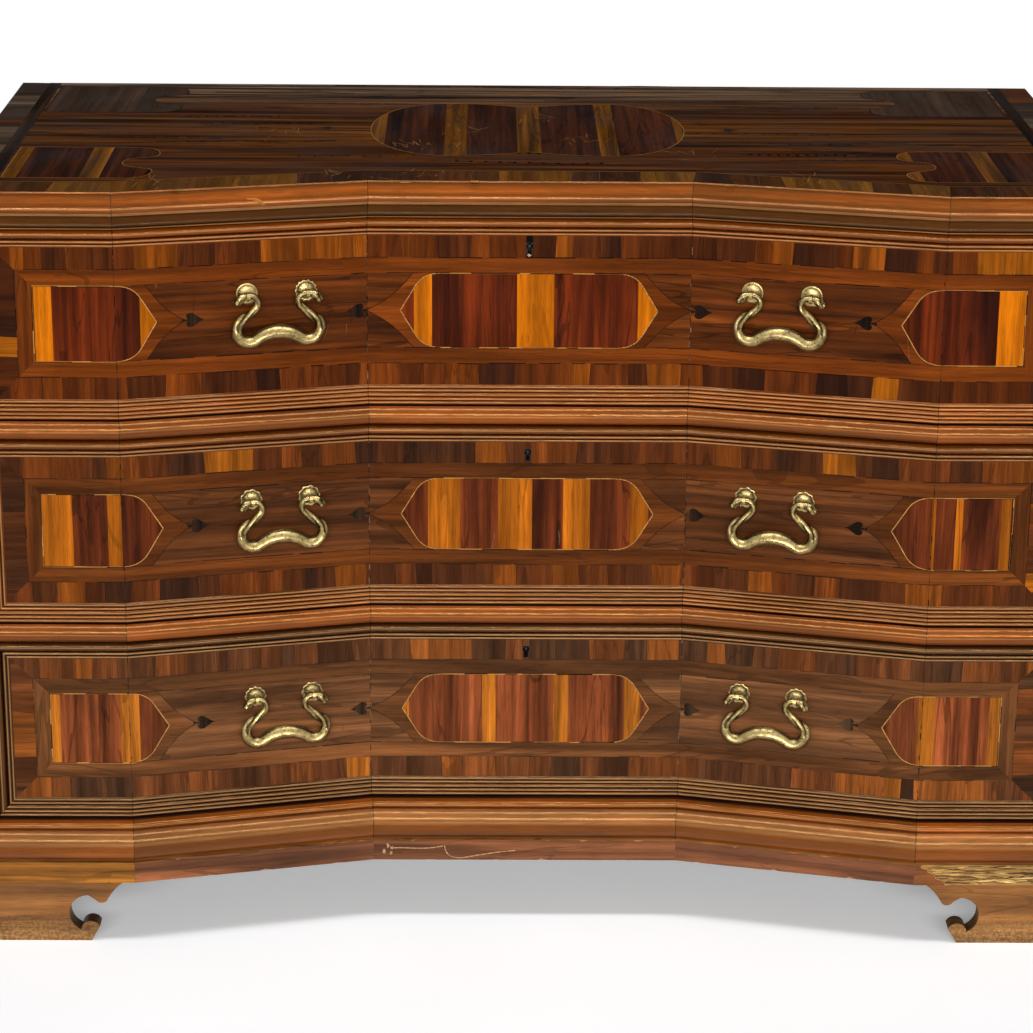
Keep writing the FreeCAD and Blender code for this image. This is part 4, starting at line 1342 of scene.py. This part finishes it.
def bail(drawer, side, word):
    """Cast serpent bail, grooved along its necks."""
    name = drawer + "_bail_" + word
    half = bail_half()
    line = [(Vector((-p.x, p.y)), -heading, body) for p, heading, body in reversed(half[1:])] + half
    along, out = flank_axes(side)
    pivot = sum(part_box(name), Vector()) / 2
    pivot.z = sum(corner.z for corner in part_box(drawer + "_posts")) / 2
    points, grain, tones = [], [], []
    travel = 0.0
    for index, (p, heading, body) in enumerate(line):
        if index:
            travel += (p - line[index - 1][0]).length
        normal = along * -math.sin(heading) + Vector((0.0, 0.0, math.cos(heading)))
        centre = pivot + along * p.x + Vector((0.0, 0.0, p.y))
        neck_share = max(0.0, 1.0 - abs(body - neck_body) / (neck_body * groove_reach_share))
        grooved = neck_share if -lobe_drop < p.y < -hook_radius * groove_end_share else 0.0
        for sector in range(bail_sides):
            angle = math.tau * sector / bail_sides
            turned = groove_count * angle + math.tau * travel / groove_pitch * math.copysign(1.0, p.x)
            dip = grooved * (0.5 - 0.5 * math.cos(turned)) ** 2
            ridged = abs(math.cos(angle)) ** section_power + abs(math.sin(angle)) ** section_power
            radius = body * ridged ** (-1 / section_power) * (1.0 - groove_depth_share * dip)
            points.append(centre + (out * math.cos(angle) + normal * math.sin(angle)) * radius)
            back = back_dark_share * max(0.0, -math.cos(angle))
            shaded = back + hollow_dark_share * dip + upper_groove(angle)
            tones.append(brass * (1.0 - min(shaded, darkest_share)))
            grain.append(Vector((travel, angle * body, 0.0)))
    first = list(range(bail_sides))
    ends = [first[::-1], [len(points) - bail_sides + sector for sector in first]]
    pieces = Pieces()
    pieces.add(points, grain, tones, skin(len(line), bail_sides) + ends)
    pieces.build(name + "_dressed", aged_brass, name, [name])


def rosettes(drawer):
    """Plates under the posts of one drawer."""
    pieces = Pieces()
    low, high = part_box(drawer + "_posts")
    share = (outer_break - handle_half_spacing) / (outer_break - inner_break)
    styles = iter(rosette_scallops[drawer])
    for side in (-1, 1):
        along, out = flank_axes(side)
        middle = Vector((side * handle_half_spacing, panel_y + recess * share, (low.z + high.z) / 2))
        for post in (-1, 1):
            rosette(pieces, middle + along * (post * post_half_spacing), along, out, next(styles))
    pieces.build(drawer + "_rosettes_dressed", aged_brass, drawer, [drawer + "_rosettes"])


def rosette(pieces, centre, along, out, scallops):
    """Domed plate, plain or with a scalloped rim and a sunk ring."""
    points, tones, grain = [], [], []
    ring_low, ring_high = rosette_ring_shares
    for reach, rise in rosette_shares:
        sunk = bool(scallops) and ring_low < reach < ring_high
        lift = rosette_crown * rise * (1.0 - ring_dip_share if sunk else 1.0)
        for sector in range(rosette_sectors):
            angle = math.tau * sector / rosette_sectors
            lobe = math.cos(angle * scallops) if scallops else 0.0
            edge = rosette_reach_share + (scallop_share * lobe if reach > ring_low else 0.0)
            flat = along * math.cos(angle) + Vector((0.0, 0.0, math.sin(angle)))
            points.append(centre + flat * (rosette_radius * reach * edge) + out * lift)
            light = ring_dark_share if sunk else rosette_light_share + scallop_light_share * lobe
            tones.append(brass * light)
            grain.append(Vector((reach * rosette_radius, angle * rosette_radius, 0.0)))
    middle = [len(points) - rosette_sectors + sector for sector in range(rosette_sectors)]
    pieces.add(points, grain, tones, skin(len(rosette_shares), rosette_sectors) + [middle])


# Materials

def join(tree, socket, value):
    """Links another socket into this one, or sets its value."""
    if isinstance(value, bpy.types.NodeSocket):
        tree.links.new(value, socket)
    else:
        socket.default_value = value


def fill(tree, made, **inputs):
    """Joins a node's sockets by name."""
    for key, value in inputs.items():
        join(tree, made.inputs[key.replace("_", " ")], value)


def plug(tree, made, *values):
    """Joins a node's sockets in order."""
    for socket, value in zip(made.inputs, values):
        join(tree, socket, value)
    return made.outputs[0]


def node(tree, kind, settings=None, **inputs):
    """Adds a shader node and sets it."""
    made = tree.nodes.new("ShaderNode" + kind)
    for key, value in (settings or {}).items():
        setattr(made, key, value)
    fill(tree, made, **inputs)
    return made


def maths(tree, operation, *values):
    return plug(tree, node(tree, "Math", {"operation": operation}), *values)


def product(tree, *values):
    result = values[0]
    for value in values[1:]:
        result = maths(tree, "MULTIPLY", result, value)
    return result


def scaled(tree, colour, factor):
    made = node(tree, "VectorMath", {"operation": "SCALE"}, Vector=colour, Scale=factor)
    return made.outputs["Vector"]


def ranged(tree, value, low, high, to_low, to_high):
    made = node(tree, "MapRange", Value=value, From_Min=low, From_Max=high, To_Min=to_low, To_Max=to_high)
    return made.outputs["Result"]


def bump(tree, height, strength, depth, **inputs):
    return node(tree, "Bump", Strength=strength, Distance=depth, Height=height, **inputs).outputs[0]


def noise(tree, vector, scale, detail, distortion=0.0):
    stretched = node(tree, "Mapping", Vector=vector, Scale=scale).outputs[0]
    made = node(tree, "TexNoise", Vector=stretched, Scale=1.0, Detail=detail, Distortion=distortion)
    return made.outputs["Fac"]


def object_place(tree):
    return node(tree, "TexCoord").outputs["Object"]


def cloud(tree, scale, detail):
    """Noise that is alike in all directions over an object."""
    return noise(tree, object_place(tree), (scale, scale, scale), detail)


def new_material(name):
    material = bpy.data.materials.new(name)
    material.use_nodes = True
    tree = material.node_tree
    return material, tree, tree.nodes["Principled BSDF"]


def wood(name, tone, vector_of, figure, vein, polish, shine, wave=0.03, gleam=white):
    """Wood with broad figure, streaks, dark veins, fine pores and a slightly uneven surface."""
    material, tree, shader = new_material(name)
    colour, figured = tone(tree)
    vector = vector_of(tree)
    swirls = ranged(tree, noise(tree, vector, *swirl_noise), *swirl_range, 1.0 - figure, 1.0 + figure)
    narrow = figure * streak_share
    streaks = ranged(tree, noise(tree, vector, *streak_noise), *even_range, 1.0 - narrow, 1.0 + narrow)
    veined = maths(tree, "COMPARE", noise(tree, vector, *vein_noise), *vein_band)
    dark_lines = ranged(tree, veined, 0.0, 1.0, 1.0, 1.0 - vein)
    fine = noise(tree, vector, *pore_noise)
    pores = ranged(tree, fine, *pore_range, *pore_shares)
    patch = noise(tree, vector, *patch_noise)
    mottle = ranged(tree, patch, *even_range, *mottle_shares)
    change = maths(tree, "SUBTRACT", product(tree, swirls, streaks, dark_lines, mottle), 1.0)
    marked = maths(tree, "MULTIPLY_ADD", change, figured, 1.0)
    rough = ranged(tree, patch, *even_range, *[polish * share for share in polish_shares])
    dips = bump(tree, fine, pore_strength, pore_depth)
    waves = bump(tree, noise(tree, vector, *swell_noise), wave, wave_depth, Normal=dips)
    shade = scaled(tree, colour, product(tree, marked, pores))
    fill(tree, shader, Base_Color=shade, Roughness=rough, Normal=waves)
    fill(tree, shader, Specular_IOR_Level=shine, Specular_Tint=gleam)
    return material


def piece_tone(tree):
    """Colour of each laid piece, and how strongly it is figured."""
    source = node(tree, "Attribute", {"attribute_name": "tone"})
    return source.outputs["Color"], source.outputs["Alpha"]


def piece_grain(tree):
    return node(tree, "Attribute", {"attribute_name": "grain"}).outputs["Vector"]


def solid_tone(colour, spread):
    """A colour that drifts a little over the surface, and a full figure."""
    def made(tree):
        drift = ranged(tree, cloud(tree, *drift_noise), *even_range, 1.0 - spread, 1.0 + spread)
        return scaled(tree, colour[:3], drift), 1.0
    return made


def foot_tone(colour, worn):
    """Brown wood, paler and speckled near the floor, and darker on faces that point up or down."""
    def made(tree):
        height = node(tree, "SeparateXYZ", Vector=object_place(tree)).outputs["Z"]
        speckle = ranged(tree, cloud(tree, *speckle_noise), *speckle_range, 0.0, 1.0)
        low = product(tree, ranged(tree, height, 0.0, foot_wear_height, 1.0, 0.0), speckle)
        # A mix of colours has them at sockets 6 and 7, and its result at 2
        mixed = node(tree, "Mix", {"data_type": "RGBA"}, Factor=low)
        join(tree, mixed.inputs[6], (*colour[:3], 1.0))
        join(tree, mixed.inputs[7], (*worn[:3], 1.0))
        facing = node(tree, "NewGeometry").outputs["True Normal"]
        level = maths(tree, "ABSOLUTE", node(tree, "SeparateXYZ", Vector=facing).outputs["Z"])
        return scaled(tree, mixed.outputs[2], ranged(tree, level, *level_face_range, *level_face_shares)), 1.0
    return made


def along_axis(axis):
    """Grain coordinates of a solid board, with the grain along one axis."""
    long, wide, deep = {"X": (0, 1, 2), "Y": (1, 0, 2), "Z": (2, 0, 1)}[axis]

    def made(tree):
        parts = node(tree, "SeparateXYZ", Vector=object_place(tree)).outputs
        across = maths(tree, "ADD", parts[wide], parts[deep])
        return node(tree, "CombineXYZ", X=parts[long], Y=across, Z=parts[deep]).outputs[0]
    return made


def brass_material():
    material, tree, shader = new_material("aged_brass")
    patch = cloud(tree, *tarnish_noise)
    tarnish = ranged(tree, patch, *tarnish_range, *tarnish_shares)
    pits = ranged(tree, cloud(tree, *pit_noise), *pit_range, *pit_shares)
    colour = scaled(tree, piece_tone(tree)[0], product(tree, tarnish, pits))
    rough = ranged(tree, patch, *even_range, *brass_roughness)
    grain = bump(tree, cloud(tree, *cast_noise), cast_strength, cast_depth)
    fill(tree, shader, Base_Color=colour, Metallic=1.0, Roughness=rough, Normal=grain)
    return material


def metal_material(name, colour, polish, metallic):
    material, tree, shader = new_material(name)
    patch = cloud(tree, *metal_noise)
    worn = scaled(tree, colour[:3], ranged(tree, patch, *even_range, *metal_shares))
    rough = ranged(tree, patch, *even_range, polish * metal_rough_share, polish)
    pitted = bump(tree, patch, metal_strength, metal_depth)
    fill(tree, shader, Base_Color=worn, Metallic=metallic, Roughness=rough, Normal=pitted)
    return material


inlaid = (piece_tone, piece_grain)
warm_gleam = (1.0, 0.60, 0.24, 1.0)
reed_gleam = (1.0, 0.60, 0.28, 1.0)
soft_gleam = (1.0, 0.82, 0.62, 1.0)
veneer = wood("veneer", *inlaid, figure=0.80, vein=0.45, polish=0.28, shine=0.06, wave=0.05)
top_polish = wood("top_polish", *inlaid, figure=0.90, vein=0.45, polish=0.45, shine=0.001)
moulding = wood("moulding", *inlaid, figure=0.50, vein=0.20, polish=0.17, shine=0.62, gleam=warm_gleam)
hollow = wood("hollow", *inlaid, figure=0.50, vein=0.20, polish=0.25, shine=0.12, gleam=soft_gleam)
reeding = wood("reeding", *inlaid, figure=0.40, vein=0.20, polish=0.17, shine=0.50, gleam=reed_gleam)
fascia = wood("fascia", *inlaid, figure=0.50, vein=0.30, polish=0.48, shine=0.20)
ground_tone = solid_tone(tone_of("2c150a"), 0.2)
along_x = along_axis("X")
ground = wood("ground", ground_tone, along_x, figure=0.3, vein=0.3, polish=0.4, shine=0.2)
bare_tone = solid_tone(bare_wood, 0.45)
bare = wood("bare", bare_tone, along_x, figure=0.5, vein=0.5, polish=0.7, shine=0.1, wave=0.3)
worn_tone = foot_tone(tone_of("925f30"), tone_of("b08a56"))
foot_wood = wood("foot_wood", worn_tone, along_x, figure=0.35, vein=0.25, polish=0.55, shine=0.2, wave=0.1)
pine_tone = solid_tone(tone_of("b08a5c"), 0.15)
pine_finish = {"figure": 0.22, "vein": 0.15, "polish": 0.62, "shine": 0.2}
pine = {axis: wood("pine_" + axis, pine_tone, along_axis(axis), **pine_finish) for axis in "XYZ"}
aged_brass = brass_material()
solid_brass = metal_material("solid_brass", brass, polish=0.32, metallic=1.0)
dark_iron = metal_material("dark_iron", iron, polish=0.5, metallic=0.9)

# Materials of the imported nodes, by how their names end. The rest is pine along X
node_materials = (
    (pine["Y"], ("_side_left", "_side_right", "drawer_runners", "top_kickers", "drawer_stops")),
    (pine["Z"], ("_glue_blocks",)),
    (ground, ("_front", "_rail", "top_panel", "side_panel_left", "side_panel_right", "bottom_board")),
    (ground, ("moulding", "mouldings", "facings")),
    (foot_wood, ("_foot_left", "_foot_right")),
    (bare, ("plinth_frame",)),
    (solid_brass, ("_posts", "_bail_left", "_bail_right", "_rosettes")),
    (dark_iron, ("_lock_case", "_lock_bolt", "_post_nuts")),
)


def dress_frame():
    """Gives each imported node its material."""
    for name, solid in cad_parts.items():
        material = pine["X"]
        for kind, endings in node_materials:
            if name.endswith(endings):
                material = kind
        for holder in solid.material_slots:
            holder.material = material


# Room

def camera():
    sight = Vector((
        math.sin(camera_yaw) * math.cos(camera_pitch), math.cos(camera_yaw) * math.cos(camera_pitch),
        -math.sin(camera_pitch),
    ))
    level = Vector((math.cos(camera_yaw), -math.sin(camera_yaw), 0.0))
    down = sight.cross(level)
    right = level * math.cos(camera_roll) + down * math.sin(camera_roll)
    lower = down * math.cos(camera_roll) - level * math.sin(camera_roll)
    data = bpy.data.cameras.new("camera")
    data.sensor_fit = "HORIZONTAL"
    data.sensor_width = sensor_width
    data.lens = focal_pixels * sensor_width / photo_side
    data.clip_start, data.clip_end = clip_range
    made = bpy.data.objects.new("camera", data)
    turned = Matrix((right, -lower, -sight)).transposed().to_4x4()
    made.matrix_world = Matrix.Translation(camera_place) @ turned
    bpy.context.scene.collection.objects.link(made)
    bpy.context.scene.camera = made


def area_light(name, place, size, spread, power):
    data = bpy.data.lights.new(name, "AREA")
    data.shape = "RECTANGLE"
    data.size, data.size_y = size
    data.spread = spread
    data.energy = power
    made = bpy.data.objects.new(name, data)
    made.location = place
    made.rotation_mode = "QUATERNION"
    aim = Vector((0.0, panel_y, top_z / 2))
    made.rotation_quaternion = (aim - place).to_track_quat("-Z", "Y")
    bpy.context.scene.collection.objects.link(made)


def seen(tree):
    """One for a ray from the camera, or one that a gloss or glass sends on."""
    rays = node(tree, "LightPath").outputs
    result = rays["Is Camera Ray"]
    for kind in ("Is Glossy Ray", "Is Transmission Ray"):
        result = maths(tree, "MAXIMUM", result, rays[kind])
    return result


def room():
    area_light("front_light", key_place, key_size, key_spread, key_power)
    area_light("top_light", top_light_place, top_light_size, top_light_spread, top_light_power)
    world = bpy.data.worlds.new("room")
    world.use_nodes = True
    bpy.context.scene.world = world
    tree = world.node_tree
    tree.nodes.clear()
    light = node(tree, "Background", Color=white, Strength=world_strength).outputs[0]
    backdrop = node(tree, "Background", Color=white, Strength=1.0).outputs[0]
    mixed = plug(tree, node(tree, "MixShader"), seen(tree), light, backdrop)
    node(tree, "OutputWorld", {"is_active_output": True}, Surface=mixed)
    floor()


def floor():
    corners = rectangle(-floor_half_size, floor_half_size, -floor_half_size, floor_half_size)
    mesh = bpy.data.meshes.new("floor")
    mesh.from_pydata([p.to_3d() for p in corners], [], [range(4)])
    material, tree, shader = new_material("pale_floor")
    pale = scaled(tree, floor_colour, ranged(tree, cloud(tree, *floor_noise), *even_range, *floor_shares))
    glow = ranged(tree, seen(tree), 0.0, 1.0, 0.0, floor_glow)
    fill(tree, shader, Base_Color=pale, Roughness=0.9, Specular_IOR_Level=0.1)
    fill(tree, shader, Emission_Color=pale, Emission_Strength=glow)
    mesh.materials.append(material)
    made = bpy.data.objects.new("floor", mesh)
    bpy.context.scene.collection.objects.link(made)
    made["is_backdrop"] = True


def main():
    dress_frame()
    top_edge()
    cove()
    facings()
    base()
    top_veneer()
    side_veneer()
    plinth_veneer()
    for drawer in drawers:
        drawer_veneer(drawer)
        drawer_mouldings(drawer)
        rosettes(drawer)
        bail(drawer, -1, "left")
        bail(drawer, 1, "right")
    scars()
    camera()
    room()
    bpy.context.scene.view_settings.view_transform = "Standard"
    bounds = {"packed": packed_bounds, "dressed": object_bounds()}
    sizes = {name: [list(corner) for corner in corners] for name, corners in bounds.items()}


main()
